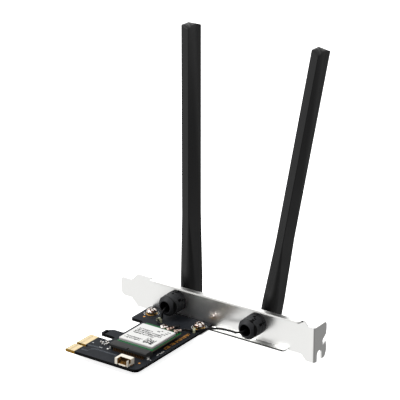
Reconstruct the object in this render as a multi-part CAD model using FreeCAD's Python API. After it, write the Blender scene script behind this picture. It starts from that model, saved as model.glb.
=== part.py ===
import FreeCAD
import Part
import math
import os
from FreeCAD import Vector

# A full-height expansion card with a wireless module and two folding antennas.
# Millimetres. The pieces are drawn in the bracket's frame: x runs along the strip and is 0 at the
# flange's outer face, y is 0 at the strip's card-side face and grows away from the card, and z is 0
# at the strip's lower edge. The last step moves everything so that the origin lies on the flange's seat.

# Bracket, bent from one sheet
SHEET = 0.86
STRIP_WIDTH = 18.42
STRIP_LENGTH = 120.02
TONGUE_WIDTH = 10.19
TONGUE_LENGTH = 7.0
TAPER_LENGTH = 4.0
BEND_INSIDE = 0.4
LIP_DEPTH = 3.2
HEAD_FLAT = 9.82
UPPER_LIP_END = 7.4
LOWER_LIP_END = 15.9
RELIEF_WIDTH = 1.0
SHOULDER_START = 6.7
SHOULDER_LENGTH = 2.8
FLANGE_WIDTH = 19.05
FLANGE_DROP = 3.17
FLANGE_DEPTH = 11.43
FLANGE_CORNER = 2.0
SCREW_SLOT_WIDTH = 4.42
SCREW_SLOT_LINE = 4.75
SCREW_SLOT_TOP = 2.3
KEEPER_NOTCH_LOW = 4.7
KEEPER_NOTCH_HIGH = 8.0
KEEPER_NOTCH_DEPTH = 3.6
EAR_WIDTH = 8.0
EAR_INSET = 0.3
EAR_REACH = 12.4

# Circuit board and its edge connector
BOARD_THICKNESS = 1.6
FINGER_INSET = 15.92
BOARD_WIDTH = 43.1
BOARD_FRONT = 66.0
BOARD_BACK_GAP = BEND_INSIDE + 0.1
FINGER_REACH = 11.8
WING_REACH = 7.9
WING_DEPTH = 17.9
HOOK_REACH = 8.3
HOOK_WIDTH = 6.9
HOOK_SLOT_WIDTH = 4.7
KEY_WIDTH = 1.9
KEY_LENGTH = 6.7
BEVEL_LENGTH = 1.3
BEVEL_DROP = 0.45
CONTACT_PITCH = 1.0
CONTACT_WIDTH = 0.7
CONTACT_LENGTH = 4.5
CONTACT_THICKNESS = 0.05
SHORT_ROW_COUNT = 7
LONG_ROW_COUNT = 11

# Screws that hold the board on the bracket's ears
SCREW_SIDE_INSET = 3.4
SCREW_WING_INSET = 5.6
SCREW_Y = 7.5
SCREW_RADIUS = 1.45
SCREW_CLEARANCE = 0.05
SCREW_HOLE = 1.7
SCREW_HEAD_RADIUS = 2.9
SCREW_HEAD_HEIGHT = 2.4
SCREW_TIP = 0.5
PAD_RADIUS = 3.1

# Wireless module on its edge socket
MODULE_SIDE_GAP = 3.0
MODULE_WIDTH = 22.0
MODULE_LENGTH = 30.0
MODULE_THICKNESS = 0.8
MODULE_END = 23.6
MODULE_LIFT = 2.2
TONGUE_EDGE_WIDTH = 19.85
INSERT_LENGTH = 4.0
MODULE_KEY_WIDTH = 1.2
MODULE_KEY_OFFSET = 5.6
SHIELD_HEIGHT = 1.2
SHIELD_WALL = 0.2
SHIELD_SIDE_GAP = 0.9
SHIELD_WIDTH = 20.9
SHIELD_LENGTH = 20.6
SHIELD_END_GAP = 3.4
LABEL_THICKNESS = 0.08
LABEL_MARGIN = 0.35
CHIP_SIZE = 11.0
CHIP_HEIGHT = 0.85
STANDOFF_RADIUS = 2.1
MODULE_SCREW_RADIUS = 0.95
MODULE_SCREW_HEAD = 2.1
MODULE_SCREW_HEIGHT = 1.2
EDGE_SOCKET_WIDTH = 22.4
EDGE_SOCKET_DEPTH = 5.8
EDGE_SOCKET_HEIGHT = 3.5
EDGE_SOCKET_LIP = 1.0
PIN_PITCH = 0.5

# Side-entry header
HEADER_SIDE_GAP = 5.6
HEADER_WIDTH = 7.0
HEADER_DEPTH = 5.4
HEADER_HEIGHT = 3.3
HEADER_FRONT_GAP = 0.5
HEADER_WALL = 0.6
HEADER_PIN_COUNT = 5
HEADER_PITCH = 1.25

# Antenna sockets, stems and blades
ANTENNA_SPACING = 49.4
RIGHT_ANTENNA_X = 34.1
SOCKET_Z = 10.0
SOCKET_RADIUS = 5.4
SOCKET_LENGTH = 9.0
COLLAR_STEP = 0.2
COLLAR_LENGTH = 3.4
SOCKET_SPIGOT = 4.75
HOLE_CLEARANCE = 0.05
STEM_RADIUS = 3.8
RUNNING_GAP = 0.05
FACE_GAP = 0.1
STEM_BORE = 3.15
BORE_FLOOR = 1.2
NOSE_LENGTH = 1.9
NOSE_RADIUS = 3.7
NOSE_LIP = 0.35
WINDOW_RADIUS = 1.3
WINDOW_HEIGHT = 7.6
TAB_SLIT = 0.45
DISC_RADIUS = 6.2
DISC_THICKNESS = 1.7
NECK_RADIUS = 5.0
HINGE_Y = 13.0
TONGUE_THICKNESS = 3.0
TONGUE_RADIUS = 4.3
SLOT_SIDE_GAP = 0.1
SLOT_END_GAP = 0.4
PIN_RADIUS = 1.2
PIN_INSET = 0.6
BLADE_LENGTH = 146.0
BLADE_THICKNESS = 4.4
BLADE_DEPTH = 11.5
BLADE_EDGE = 0.45
ROOT_THICKNESS = 8.8
ROOT_DEPTH = 12.8
ROOT_EDGE = 4.0
ROOT_TOP = 8.0
FLARE_TOP = 44.0
CROWN_RISE = 0.3
CROWN_FALL = 2.1
CROWN_ARCH = 9.0
CROWN_NOSE = 2.2
CROWN_CORNER = 1.2
CROWN_MARGIN = 0.4
CROWN_PEAK = 0.4
CROWN_SWELL = 0.1
CAVITY_HEAD = 6.0
WALL = 0.9
COVER_THICKNESS = 1.2
COVER_FOOT = 12.0
CAVITY_FOOT = 16.0
RADIATOR_THICKNESS = 0.8
RADIATOR_LENGTH = 92.0
RADIATOR_GAP = 0.2
RIGHT_LEAN = 10.2

# Coaxial leads
LEAD_DIAMETER = 1.13
FERRULE_LENGTH = 2.8
FERRULE_RADIUS = 0.68
FERRULE_LIFT = 0.08
PLUG_RADIUS = 1.25
PLUG_HEIGHT = 1.1
RECEPTACLE_SIZE = 2.6
RECEPTACLE_HEIGHT = 0.35
PLUG_END_GAP = 1.6
LEFT_PLUG_OFFSET = 4.2
RIGHT_PLUG_OFFSET = 8.5
LEFT_PLUG_TURN = 24.0
RIGHT_PLUG_TURN = 36.0
CLIP_WIRE = 0.5
CLIP_LENGTH = 1.2
CLIP_GAP = 0.5
CLIP_FOOT = 0.4

LIP_START = STRIP_LENGTH - TONGUE_LENGTH - TAPER_LENGTH - HEAD_FLAT
FINGER_EDGE = STRIP_LENGTH - FINGER_INSET
BOARD_SIDE = FINGER_EDGE - BOARD_WIDTH
BOARD_MAIN = FINGER_EDGE - FINGER_REACH
WING_EDGE = BOARD_MAIN + WING_REACH
HOOK_EDGE = BOARD_MAIN + HOOK_REACH
BOARD_TOP = SHEET + BOARD_THICKNESS
MODULE_CENTRE = BOARD_SIDE + MODULE_SIDE_GAP + MODULE_WIDTH / 2
MODULE_BOTTOM = BOARD_TOP + MODULE_LIFT
MODULE_TOP = MODULE_BOTTOM + MODULE_THICKNESS
EDGE_SOCKET_BACK = MODULE_END + MODULE_LENGTH - INSERT_LENGTH - 1.1
LEAD_Z = BOARD_TOP + LEAD_DIAMETER / 2
LEFT_ANTENNA_X = RIGHT_ANTENNA_X + ANTENNA_SPACING
SOCKET_FRONT = SOCKET_LENGTH + FACE_GAP + NOSE_LENGTH
HEADER_X = BOARD_SIDE + HEADER_SIDE_GAP + HEADER_WIDTH / 2
SCREW_XS = (-WING_EDGE + SCREW_WING_INSET, -BOARD_SIDE - SCREW_SIDE_INSET)
SEAT = Vector(-SHEET, SCREW_SLOT_LINE, STRIP_WIDTH / 2)

PLANES = {
    "xy": lambda a, b, c: Vector(a, b, c),
    "xz": lambda a, b, c: Vector(a, c, b),
    "yz": lambda a, b, c: Vector(c, a, b),
}


def block(x, y, z):
    return Part.makeBox(x[1] - x[0], y[1] - y[0], z[1] - z[0], Vector(x[0], y[0], z[0]))


def rod(radius, start, end):
    start = Vector(*start)
    along = Vector(*end) - start
    return Part.makeCylinder(radius, along.Length, start, along)


def outline(corners, plane, level):
    """A closed wire through (a, b, radius) corners, each rounded by a tangent arc of its radius."""
    spot = PLANES[plane]
    arcs = []
    for index, (a, b, radius) in enumerate(corners):
        here = Vector(a, b, 0)
        before = Vector(*corners[index - 1][:2], 0) - here
        after = Vector(*corners[(index + 1) % len(corners)][:2], 0) - here
        before.normalize()
        after.normalize()
        half = before.getAngle(after) / 2
        reach = radius / math.tan(half)
        middle = here
        if radius > 0:
            inward = (before + after).normalize()
            middle = here + inward * (radius / math.sin(half) - radius)
        arcs.append((here + before * reach, middle, here + after * reach, radius))
    edges = []
    for index, (start, middle, end, radius) in enumerate(arcs):
        ends = [spot(point.x, point.y, level) for point in (start, middle, end)]
        if radius > 0:
            edges.append(Part.Arc(*ends).toShape())
        following = arcs[(index + 1) % len(arcs)][0]
        target = spot(following.x, following.y, level)
        if (target - ends[2]).Length > 1e-6:
            edges.append(Part.makeLine(ends[2], target))
    return Part.Wire(edges)


def plate(corners, plane, low, high):
    face = Part.Face(outline(corners, plane, low))
    return face.extrude(PLANES[plane](0, 0, high - low))


def rectangle(a, b, radius):
    return [(a[0], b[0], radius), (a[1], b[0], radius), (a[1], b[1], radius), (a[0], b[1], radius)]


def quarter_bend(centre, quadrant, low, high, axis):
    """A quarter turn of sheet round a bend line, in the quadrant that its two signs point to."""
    spot = PLANES[axis]
    outside = BEND_INSIDE + SHEET
    start = spot(centre[0], centre[1], low)
    end = spot(centre[0], centre[1], high)
    ring = rod(outside, start, end).cut(rod(BEND_INSIDE, start, end))
    a = sorted((centre[0], centre[0] + quadrant[0] * outside))
    b = sorted((centre[1], centre[1] + quadrant[1] * outside))
    return ring.common(plate(rectangle(a, b, 0), axis, low, high))


def round_slot(width, line, top, foot, plane, low, high):
    """A slot open at its foot, with a full-round top."""
    half = width / 2
    corners = [(line - half, foot, 0), (line + half, foot, 0), (line + half, top, half), (line - half, top, half)]
    return plate(corners, plane, low, high)


def cross_recess(x, y, top, width, reach, depth):
    bars = []
    for half_x, half_y in ((reach, width / 2), (width / 2, reach)):
        bars.append(block((x - half_x, x + half_x), (y - half_y, y + half_y), (top - depth, top)))
    return bars[0].fuse(bars[1])


def bracket():
    bend = BEND_INSIDE + SHEET
    middle = STRIP_WIDTH / 2
    half_tongue = TONGUE_WIDTH / 2
    neck = -STRIP_LENGTH + TONGUE_LENGTH
    head = neck + TAPER_LENGTH
    strip_end = -bend
    lower_shoulder = -SHOULDER_START - 1.0
    face = [
        (-STRIP_LENGTH, middle - half_tongue, 3.0),
        (neck, middle - half_tongue, 1.0),
        (head, 0, 1.5),
        (-LIP_START - RELIEF_WIDTH, 0, 0.3),
        (-LIP_START, bend, 0),
        (-LOWER_LIP_END, bend, 0),
        (-LOWER_LIP_END + RELIEF_WIDTH, 0, 0.3),
        (lower_shoulder, 0, 1.0),
        (lower_shoulder + SHOULDER_LENGTH, -FLANGE_DROP, 1.0),
        (strip_end, -FLANGE_DROP, 0),
        (strip_end, FLANGE_WIDTH - FLANGE_DROP, 0),
        (-SHOULDER_START + SHOULDER_LENGTH, FLANGE_WIDTH - FLANGE_DROP, 0.8),
        (-SHOULDER_START, STRIP_WIDTH, 0.8),
        (-UPPER_LIP_END + RELIEF_WIDTH / 4, STRIP_WIDTH, 0),
        (-UPPER_LIP_END, STRIP_WIDTH - bend, 0),
        (-LIP_START, STRIP_WIDTH - bend, 0),
        (-LIP_START - RELIEF_WIDTH, STRIP_WIDTH, 0.3),
        (head, STRIP_WIDTH, 1.0),
        (neck, middle + half_tongue, 1.0),
        (-STRIP_LENGTH, middle + half_tongue, 1.6),
    ]
    sheet = plate(face, "xz", 0, SHEET)

    fold_y = -BEND_INSIDE
    for end, edge, inward in ((LOWER_LIP_END, 0, 1), (UPPER_LIP_END, STRIP_WIDTH, -1)):
        fold_z = edge + inward * bend
        sheet = sheet.fuse(quarter_bend((fold_y, fold_z), (1, -inward), -LIP_START, -end, "yz"))
        lip = rectangle((-LIP_START, -end), (-LIP_DEPTH, fold_y), 0)
        lip[0] = (-LIP_START, -LIP_DEPTH, 1.2)
        lip[1] = (-end, -LIP_DEPTH, 1.6)
        low, high = sorted((edge, edge + inward * SHEET))
        sheet = sheet.fuse(plate(lip, "xy", low, high))

    for x in SCREW_XS:
        far = x + SCREW_SIDE_INSET - EAR_INSET
        ear = rectangle((far - EAR_WIDTH, far), (-EAR_REACH, -LIP_DEPTH / 2), 0)
        ear[0] = (ear[0][0], ear[0][1], 3.0)
        ear[1] = (ear[1][0], ear[1][1], 3.0)
        sheet = sheet.fuse(plate(ear, "xy", 0, SHEET))

    top = FLANGE_WIDTH - FLANGE_DROP
    sheet = sheet.fuse(quarter_bend((-bend, bend), (1, -1), -FLANGE_DROP, top, "xy"))
    notch_floor = FLANGE_DEPTH - KEEPER_NOTCH_DEPTH
    flange = [
        (bend, -FLANGE_DROP, 0),
        (FLANGE_DEPTH - 1.2, -FLANGE_DROP, 2.2),
        (FLANGE_DEPTH, 0, 2.0),
        (FLANGE_DEPTH - 0.1, KEEPER_NOTCH_LOW - 2.4, 1.0),
        (FLANGE_DEPTH - 0.5, KEEPER_NOTCH_LOW + 0.5, 0.25),
        (notch_floor, KEEPER_NOTCH_LOW - 0.7, 0.3),
        (notch_floor, KEEPER_NOTCH_HIGH - 1.2, 0.8),
        (FLANGE_DEPTH - 0.6, KEEPER_NOTCH_HIGH + 1.0, 0.8),
        (FLANGE_DEPTH, KEEPER_NOTCH_HIGH + 3.0, 1.2),
        (FLANGE_DEPTH, top, FLANGE_CORNER),
        (bend, top, 0),
    ]
    sheet = sheet.fuse(plate(flange, "yz", -SHEET, 0))
    slot = round_slot(SCREW_SLOT_WIDTH, SCREW_SLOT_LINE, SCREW_SLOT_TOP, -FLANGE_DROP - 1, "yz", -SHEET, 0)
    sheet = sheet.cut(slot).removeSplitter()

    for x in (-LEFT_ANTENNA_X, -RIGHT_ANTENNA_X):
        hole = rod(SOCKET_SPIGOT + HOLE_CLEARANCE, (x, -1, SOCKET_Z), (x, SHEET + 1, SOCKET_Z))
        sheet = sheet.cut(hole)
    for x in SCREW_XS:
        sheet = sheet.cut(rod(SCREW_RADIUS + SCREW_CLEARANCE, (x, -SCREW_Y, -1), (x, -SCREW_Y, SHEET + 1)))
    return sheet


def finger_rows():
    """The front edge of each row of contacts and its number of contacts."""
    short_start = -BOARD_FRONT
    key_start = short_start + SHORT_ROW_COUNT * CONTACT_PITCH + 0.25
    long_start = key_start + KEY_WIDTH
    return short_start, key_start, long_start, long_start + LONG_ROW_COUNT * CONTACT_PITCH - 0.35


def circuit_board():
    short_start, key_start, long_start, fingers_end = finger_rows()
    hook_front = fingers_end + HOOK_SLOT_WIDTH
    hook_back = hook_front + HOOK_WIDTH
    key_end = -FINGER_EDGE + KEY_LENGTH
    corners = [
        (-BOARD_SIDE, -BOARD_BACK_GAP, 0.6),
        (-WING_EDGE, -BOARD_BACK_GAP, 1.2),
        (-WING_EDGE, -WING_DEPTH, 1.0),
        (-BOARD_MAIN, -WING_DEPTH, 0.8),
        (-BOARD_MAIN, hook_back, 0.8),
        (-HOOK_EDGE, hook_back, 3.2),
        (-HOOK_EDGE, hook_front, 1.0),
        (-BOARD_MAIN, hook_front, 1.4),
        (-BOARD_MAIN, fingers_end, 1.4),
        (-FINGER_EDGE, fingers_end, 0.4),
        (-FINGER_EDGE, long_start, 0.4),
        (key_end, long_start, KEY_WIDTH / 2),
        (key_end, key_start, KEY_WIDTH / 2),
        (-FINGER_EDGE, key_start, 0.4),
        (-FINGER_EDGE, short_start, 0.4),
        (-BOARD_SIDE, short_start, 3.0),
    ]
    board = plate(corners, "xy", SHEET, BOARD_TOP)
    for face, drop in ((BOARD_TOP, -BEVEL_DROP), (SHEET, BEVEL_DROP)):
        outer = 1 if drop < 0 else -1
        wedge = [
            (-FINGER_EDGE - 1, face + drop - outer * BEVEL_DROP / BEVEL_LENGTH, 0),
            (-FINGER_EDGE + BEVEL_LENGTH, face, 0),
            (-FINGER_EDGE - 1, face + outer, 0),
        ]
        board = board.cut(plate(wedge, "xz", short_start - 1, fingers_end + 1))
    for x in SCREW_XS:
        board = board.cut(rod(SCREW_HOLE, (x, -SCREW_Y, 0), (x, -SCREW_Y, BOARD_TOP + 1)))
    return board


def edge_contacts():
    """Gold contacts on both faces, each bent down over the bevelled edge."""
    short_start, _, long_start, _ = finger_rows()
    pads = []
    for start, count in ((short_start, SHORT_ROW_COUNT), (long_start, LONG_ROW_COUNT)):
        for index in range(count):
            low = start + 0.3 + index * CONTACT_PITCH
            for face, outward in ((BOARD_TOP, 1), (SHEET, -1)):
                tip = face - outward * BEVEL_DROP
                skin = outward * CONTACT_THICKNESS
                side = [
                    (-FINGER_EDGE, tip, 0),
                    (-FINGER_EDGE + BEVEL_LENGTH, face, 0),
                    (-FINGER_EDGE + CONTACT_LENGTH, face, 0),
                    (-FINGER_EDGE + CONTACT_LENGTH, face + skin, 0),
                    (-FINGER_EDGE + BEVEL_LENGTH, face + skin, 0),
                    (-FINGER_EDGE, tip + skin, 0),
                ]
                pads.append(plate(side, "xz", low, low + CONTACT_WIDTH))
    return Part.makeCompound(pads)


def pan_head_screw(x, y, seat, tip, radius, head_radius, head_height, crown):
    head = rod(head_radius, (x, y, seat), (x, y, seat + head_height))
    rim = [edge for edge in head.Edges if abs(edge.BoundBox.ZMin - seat - head_height) < 1e-6]
    head = head.makeFillet(crown, rim)
    top = seat + head_height
    head = head.cut(cross_recess(x, y, top, head_radius * 0.26, head_radius * 0.58, head_height * 0.6))
    return head.fuse(rod(radius, (x, y, tip), (x, y, seat))).removeSplitter()


def bracket_screws():
    seat = BOARD_TOP + CONTACT_THICKNESS
    screws = []
    for x in SCREW_XS:
        screws.append(pan_head_screw(x, -SCREW_Y, seat, -SCREW_TIP, SCREW_RADIUS, SCREW_HEAD_RADIUS,
                                     SCREW_HEAD_HEIGHT, SCREW_HEAD_HEIGHT * 0.6))
    return Part.makeCompound(screws)


def screw_pads():
    pads = []
    for x in SCREW_XS:
        ring = rod(PAD_RADIUS, (x, -SCREW_Y, BOARD_TOP), (x, -SCREW_Y, BOARD_TOP + CONTACT_THICKNESS))
        pads.append(ring.cut(rod(SCREW_HOLE, (x, -SCREW_Y, 0), (x, -SCREW_Y, BOARD_TOP + 1))))
    return Part.makeCompound(pads)


def module_board():
    left = -MODULE_CENTRE - MODULE_WIDTH / 2
    right = left + MODULE_WIDTH
    front = -MODULE_END - MODULE_LENGTH
    shoulder = front + INSERT_LENGTH
    tongue_left = -MODULE_CENTRE - TONGUE_EDGE_WIDTH / 2
    tongue_right = -MODULE_CENTRE + TONGUE_EDGE_WIDTH / 2
    corners = [
        (left, shoulder, 0.3), (tongue_left, shoulder, 0.3), (tongue_left, front, 0.2),
        (tongue_right, front, 0.2), (tongue_right, shoulder, 0.3), (right, shoulder, 0.3),
        (right, -MODULE_END, 0.4), (left, -MODULE_END, 0.4),
    ]
    board = plate(corners, "xy", MODULE_BOTTOM, MODULE_TOP)
    key = -MODULE_CENTRE - MODULE_KEY_OFFSET
    board = board.cut(round_slot(MODULE_KEY_WIDTH, key, front + 3.5, front - 1, "xy", MODULE_BOTTOM, MODULE_TOP))
    notch = rod(MODULE_SCREW_RADIUS + 0.8, (-MODULE_CENTRE, -MODULE_END, 0), (-MODULE_CENTRE, -MODULE_END, 9))
    return board.cut(notch)


def module_contacts():
    front = -MODULE_END - MODULE_LENGTH
    key = -MODULE_CENTRE - MODULE_KEY_OFFSET
    count = int(TONGUE_EDGE_WIDTH / PIN_PITCH) - 2
    pads = []
    for index in range(count):
        x = -MODULE_CENTRE + (index - (count - 1) / 2) * PIN_PITCH
        if abs(x - key) > MODULE_KEY_WIDTH:
            span = (x - 0.17, x + 0.17)
            depth = (front + 0.4, front + 2.6)
            pads.append(block(span, depth, (MODULE_TOP, MODULE_TOP + CONTACT_THICKNESS)))
            pads.append(block(span, depth, (MODULE_BOTTOM - CONTACT_THICKNESS, MODULE_BOTTOM)))
    return Part.makeCompound(pads)


def shield_outline(margin):
    low_y = -MODULE_END - SHIELD_END_GAP - SHIELD_LENGTH
    right = -MODULE_CENTRE + MODULE_WIDTH / 2 - SHIELD_SIDE_GAP
    return rectangle((right - SHIELD_WIDTH + margin, right - margin),
                     (low_y + margin, low_y + SHIELD_LENGTH - margin), max(0.8 - margin, 0.3))


def module_shield():
    outer = plate(shield_outline(0), "xy", MODULE_TOP, MODULE_TOP + SHIELD_HEIGHT)
    rim = [edge for edge in outer.Edges if edge.BoundBox.ZMin > MODULE_TOP + SHIELD_HEIGHT - 1e-6]
    outer = outer.makeFillet(SHIELD_WALL, rim)
    inner = plate(shield_outline(SHIELD_WALL), "xy", MODULE_TOP, MODULE_TOP + SHIELD_HEIGHT - SHIELD_WALL)
    return outer.cut(inner)


def module_label():
    top = MODULE_TOP + SHIELD_HEIGHT
    return plate(shield_outline(LABEL_MARGIN), "xy", top, top + LABEL_THICKNESS)


def radio_chip():
    middle = -MODULE_END - SHIELD_END_GAP - SHIELD_LENGTH / 2
    half = CHIP_SIZE / 2
    return block((-MODULE_CENTRE - half, -MODULE_CENTRE + half), (middle - half, middle + half),
                 (MODULE_TOP, MODULE_TOP + CHIP_HEIGHT))


def module_standoff():
    centre = (-MODULE_CENTRE, -MODULE_END)
    post = rod(STANDOFF_RADIUS, (*centre, BOARD_TOP), (*centre, MODULE_BOTTOM))
    step = rod(MODULE_SCREW_RADIUS + 0.6, (*centre, MODULE_BOTTOM), (*centre, MODULE_TOP))
    bore = rod(MODULE_SCREW_RADIUS + SCREW_CLEARANCE, (*centre, BOARD_TOP), (*centre, MODULE_TOP))
    return post.fuse(step).cut(bore)


def module_screw():
    return pan_head_screw(-MODULE_CENTRE, -MODULE_END, MODULE_TOP, BOARD_TOP + 0.3, MODULE_SCREW_RADIUS,
                          MODULE_SCREW_HEAD, MODULE_SCREW_HEIGHT, MODULE_SCREW_HEIGHT * 0.5)


def edge_socket_box():
    back = -EDGE_SOCKET_BACK
    half = EDGE_SOCKET_WIDTH / 2
    return (-MODULE_CENTRE - half, -MODULE_CENTRE + half), (back - EDGE_SOCKET_DEPTH, back)


def module_socket():
    """The edge socket: an overhanging cap over a recessed front, with a slot for the module's tongue."""
    x, y = edge_socket_box()
    top = BOARD_TOP + EDGE_SOCKET_HEIGHT
    body = block(x, y, (BOARD_TOP, top))
    cap_bottom = top - 1.7
    body = body.cut(block((x[0] + 0.8, x[1] - 0.8), (y[0] - 1, y[0] + EDGE_SOCKET_LIP), (BOARD_TOP, cap_bottom)))
    body = body.cut(block((x[0] - 1, x[0] + 0.8), (y[0] - 1, y[0] + 0.5), (BOARD_TOP, cap_bottom)))
    body = body.cut(block((x[1] - 0.8, x[1] + 1), (y[0] - 1, y[0] + 0.5), (BOARD_TOP, cap_bottom)))
    front_edge = plate([(y[0] - 1, top + 1, 0), (y[0] - 1, top - 0.5, 0), (y[0], top - 0.5, 0),
                        (y[0] + 0.5, top, 0), (y[0] + 0.5, top + 1, 0)], "yz", x[0] - 1, x[1] + 1)
    body = body.cut(front_edge)
    tongue = TONGUE_EDGE_WIDTH / 2 + 0.1
    insert = -MODULE_END - MODULE_LENGTH - 0.1
    slot = block((-MODULE_CENTRE - tongue, -MODULE_CENTRE + tongue), (insert, y[1] + 1),
                 (MODULE_BOTTOM - 0.15, MODULE_TOP + 0.15))
    body = body.cut(slot)
    shoulder = -MODULE_END - MODULE_LENGTH + INSERT_LENGTH
    body = body.cut(block((x[0] - 1, x[1] + 1), (shoulder - 0.1, y[1] + 1), (MODULE_BOTTOM - 0.15, top + 1)))
    notch = block((-MODULE_CENTRE - 0.6, -MODULE_CENTRE + 0.6), (y[0] - 1, y[0] + 0.6), (top - 0.7, top + 1))
    body = body.cut(notch)
    key = -MODULE_CENTRE - MODULE_KEY_OFFSET
    rib = block((key - 0.45, key + 0.45), (insert, insert + 3.0), (MODULE_BOTTOM - 0.15, MODULE_TOP + 0.15))
    return body.fuse(rib).removeSplitter()


def module_socket_pins():
    """A row of bent contact tails that come out under the socket's cap."""
    x, y = edge_socket_box()
    count = int((EDGE_SOCKET_WIDTH - 3.0) / PIN_PITCH / 2)
    back = y[0] + EDGE_SOCKET_LIP
    pins = []
    for index in range(count):
        middle = -MODULE_CENTRE + (index - (count - 1) / 2) * 2 * PIN_PITCH
        side = [
            (y[0] - 0.5, BOARD_TOP, 0), (back - 0.35, BOARD_TOP, 0), (back - 0.35, BOARD_TOP + 1.2, 0),
            (back, BOARD_TOP + 1.2, 0), (back, BOARD_TOP + 1.45, 0), (back - 0.6, BOARD_TOP + 1.45, 0),
            (back - 0.6, BOARD_TOP + 0.2, 0), (y[0] - 0.5, BOARD_TOP + 0.2, 0),
        ]
        pins.append(plate(side, "yz", middle - 0.2, middle + 0.2))
    return Part.makeCompound(pins)


def module_socket_tabs():
    x, y = edge_socket_box()
    tabs = []
    for edge, outward in ((x[0], -1), (x[1], 1)):
        low, high = sorted((edge, edge + outward * 0.7))
        foot = block((low, high), (y[0] + 0.6, y[0] + 2.4), (BOARD_TOP, BOARD_TOP + 0.3))
        low, high = sorted((edge, edge + outward * 0.25))
        tabs.append(foot.fuse(block((low, high), (y[0] + 0.6, y[0] + 2.4), (BOARD_TOP, BOARD_TOP + 1.3))))
    return Part.makeCompound(tabs)


def header_box():
    front = -BOARD_FRONT + HEADER_FRONT_GAP
    return (-HEADER_X - HEADER_WIDTH / 2, -HEADER_X + HEADER_WIDTH / 2), (front, front + HEADER_DEPTH)


def header_housing():
    x, y = header_box()
    top = BOARD_TOP + HEADER_HEIGHT
    body = block(x, y, (BOARD_TOP, top))
    body = body.cut(block((x[0] + HEADER_WALL, x[1] - HEADER_WALL), (y[0] - 1, y[1] - 1.1),
                          (BOARD_TOP + HEADER_WALL, top - HEADER_WALL)))
    body = body.cut(block((x[0] + 1.5, x[1] - 1.5), (y[0] - 1, y[0] + 0.9), (top - HEADER_WALL - 1, top + 1)))
    for low, high in ((x[0] - 1, x[0] + HEADER_WALL + 1), (x[1] - HEADER_WALL - 1, x[1] + 1)):
        body = body.cut(block((low, high), (y[0] - 1, y[0] + 1.6), (BOARD_TOP + 0.9, BOARD_TOP + 2.2)))
    return body


def header_pins():
    x, y = header_box()
    pins = []
    for index in range(HEADER_PIN_COUNT):
        middle = -HEADER_X + (index - (HEADER_PIN_COUNT - 1) / 2) * HEADER_PITCH
        level = BOARD_TOP + HEADER_HEIGHT / 2
        pins.append(block((middle - 0.16, middle + 0.16), (y[0] + 1.0, y[1] - 1.1), (level - 0.16, level + 0.16)))
        pins.append(block((middle - 0.16, middle + 0.16), (y[1], y[1] + 0.8), (BOARD_TOP, BOARD_TOP + 0.25)))
    for edge, outward in ((x[0], -1), (x[1], 1)):
        low, high = sorted((edge, edge + outward * 0.8))
        pins.append(block((low, high), (y[0] + 1.8, y[0] + 3.6), (BOARD_TOP, BOARD_TOP + 0.3)))
    return Part.makeCompound(pins)


def chip_parts(spots, length, width, height):
    """Small soldered parts at (x, y, turned) spots on the board."""
    parts = []
    for x, y, turned in spots:
        across, along = (width, length) if turned else (length, width)
        parts.append(block((x - across / 2, x + across / 2), (y - along / 2, y + along / 2),
                           (BOARD_TOP, BOARD_TOP + height)))
    return Part.makeCompound(parts)


def plug_place(side):
    """Where a lead's plug sits on the module, and the flat direction its ferrule points in."""
    offset, turn = LEFT_PLUG_OFFSET, LEFT_PLUG_TURN
    if side == "right":
        offset, turn = RIGHT_PLUG_OFFSET, RIGHT_PLUG_TURN
    angle = math.radians(turn)
    centre = Vector(offset - MODULE_CENTRE, -MODULE_END - PLUG_END_GAP, MODULE_TOP + RECEPTACLE_HEIGHT)
    return centre, Vector(math.sin(angle), math.cos(angle), 0)


def antenna_receptacles():
    parts = []
    for side in ("left", "right"):
        centre, _ = plug_place(side)
        half = RECEPTACLE_SIZE / 2
        base = block((centre.x - half, centre.x + half), (centre.y - half, centre.y + half),
                     (MODULE_TOP, MODULE_TOP + RECEPTACLE_HEIGHT))
        parts.append(base)
    return Part.makeCompound(parts)


def lead_plug(side):
    centre, along = plug_place(side)
    cap = Part.makeCylinder(PLUG_RADIUS, PLUG_HEIGHT, centre)
    rim = [edge for edge in cap.Edges if edge.BoundBox.ZMin > centre.z + PLUG_HEIGHT - 1e-6]
    cap = cap.makeFillet(0.25, rim)
    middle = centre + Vector(0, 0, FERRULE_LIFT + FERRULE_RADIUS)
    ferrule = Part.makeCylinder(FERRULE_RADIUS, FERRULE_LENGTH, middle, along)
    return cap.fuse(ferrule)


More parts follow.
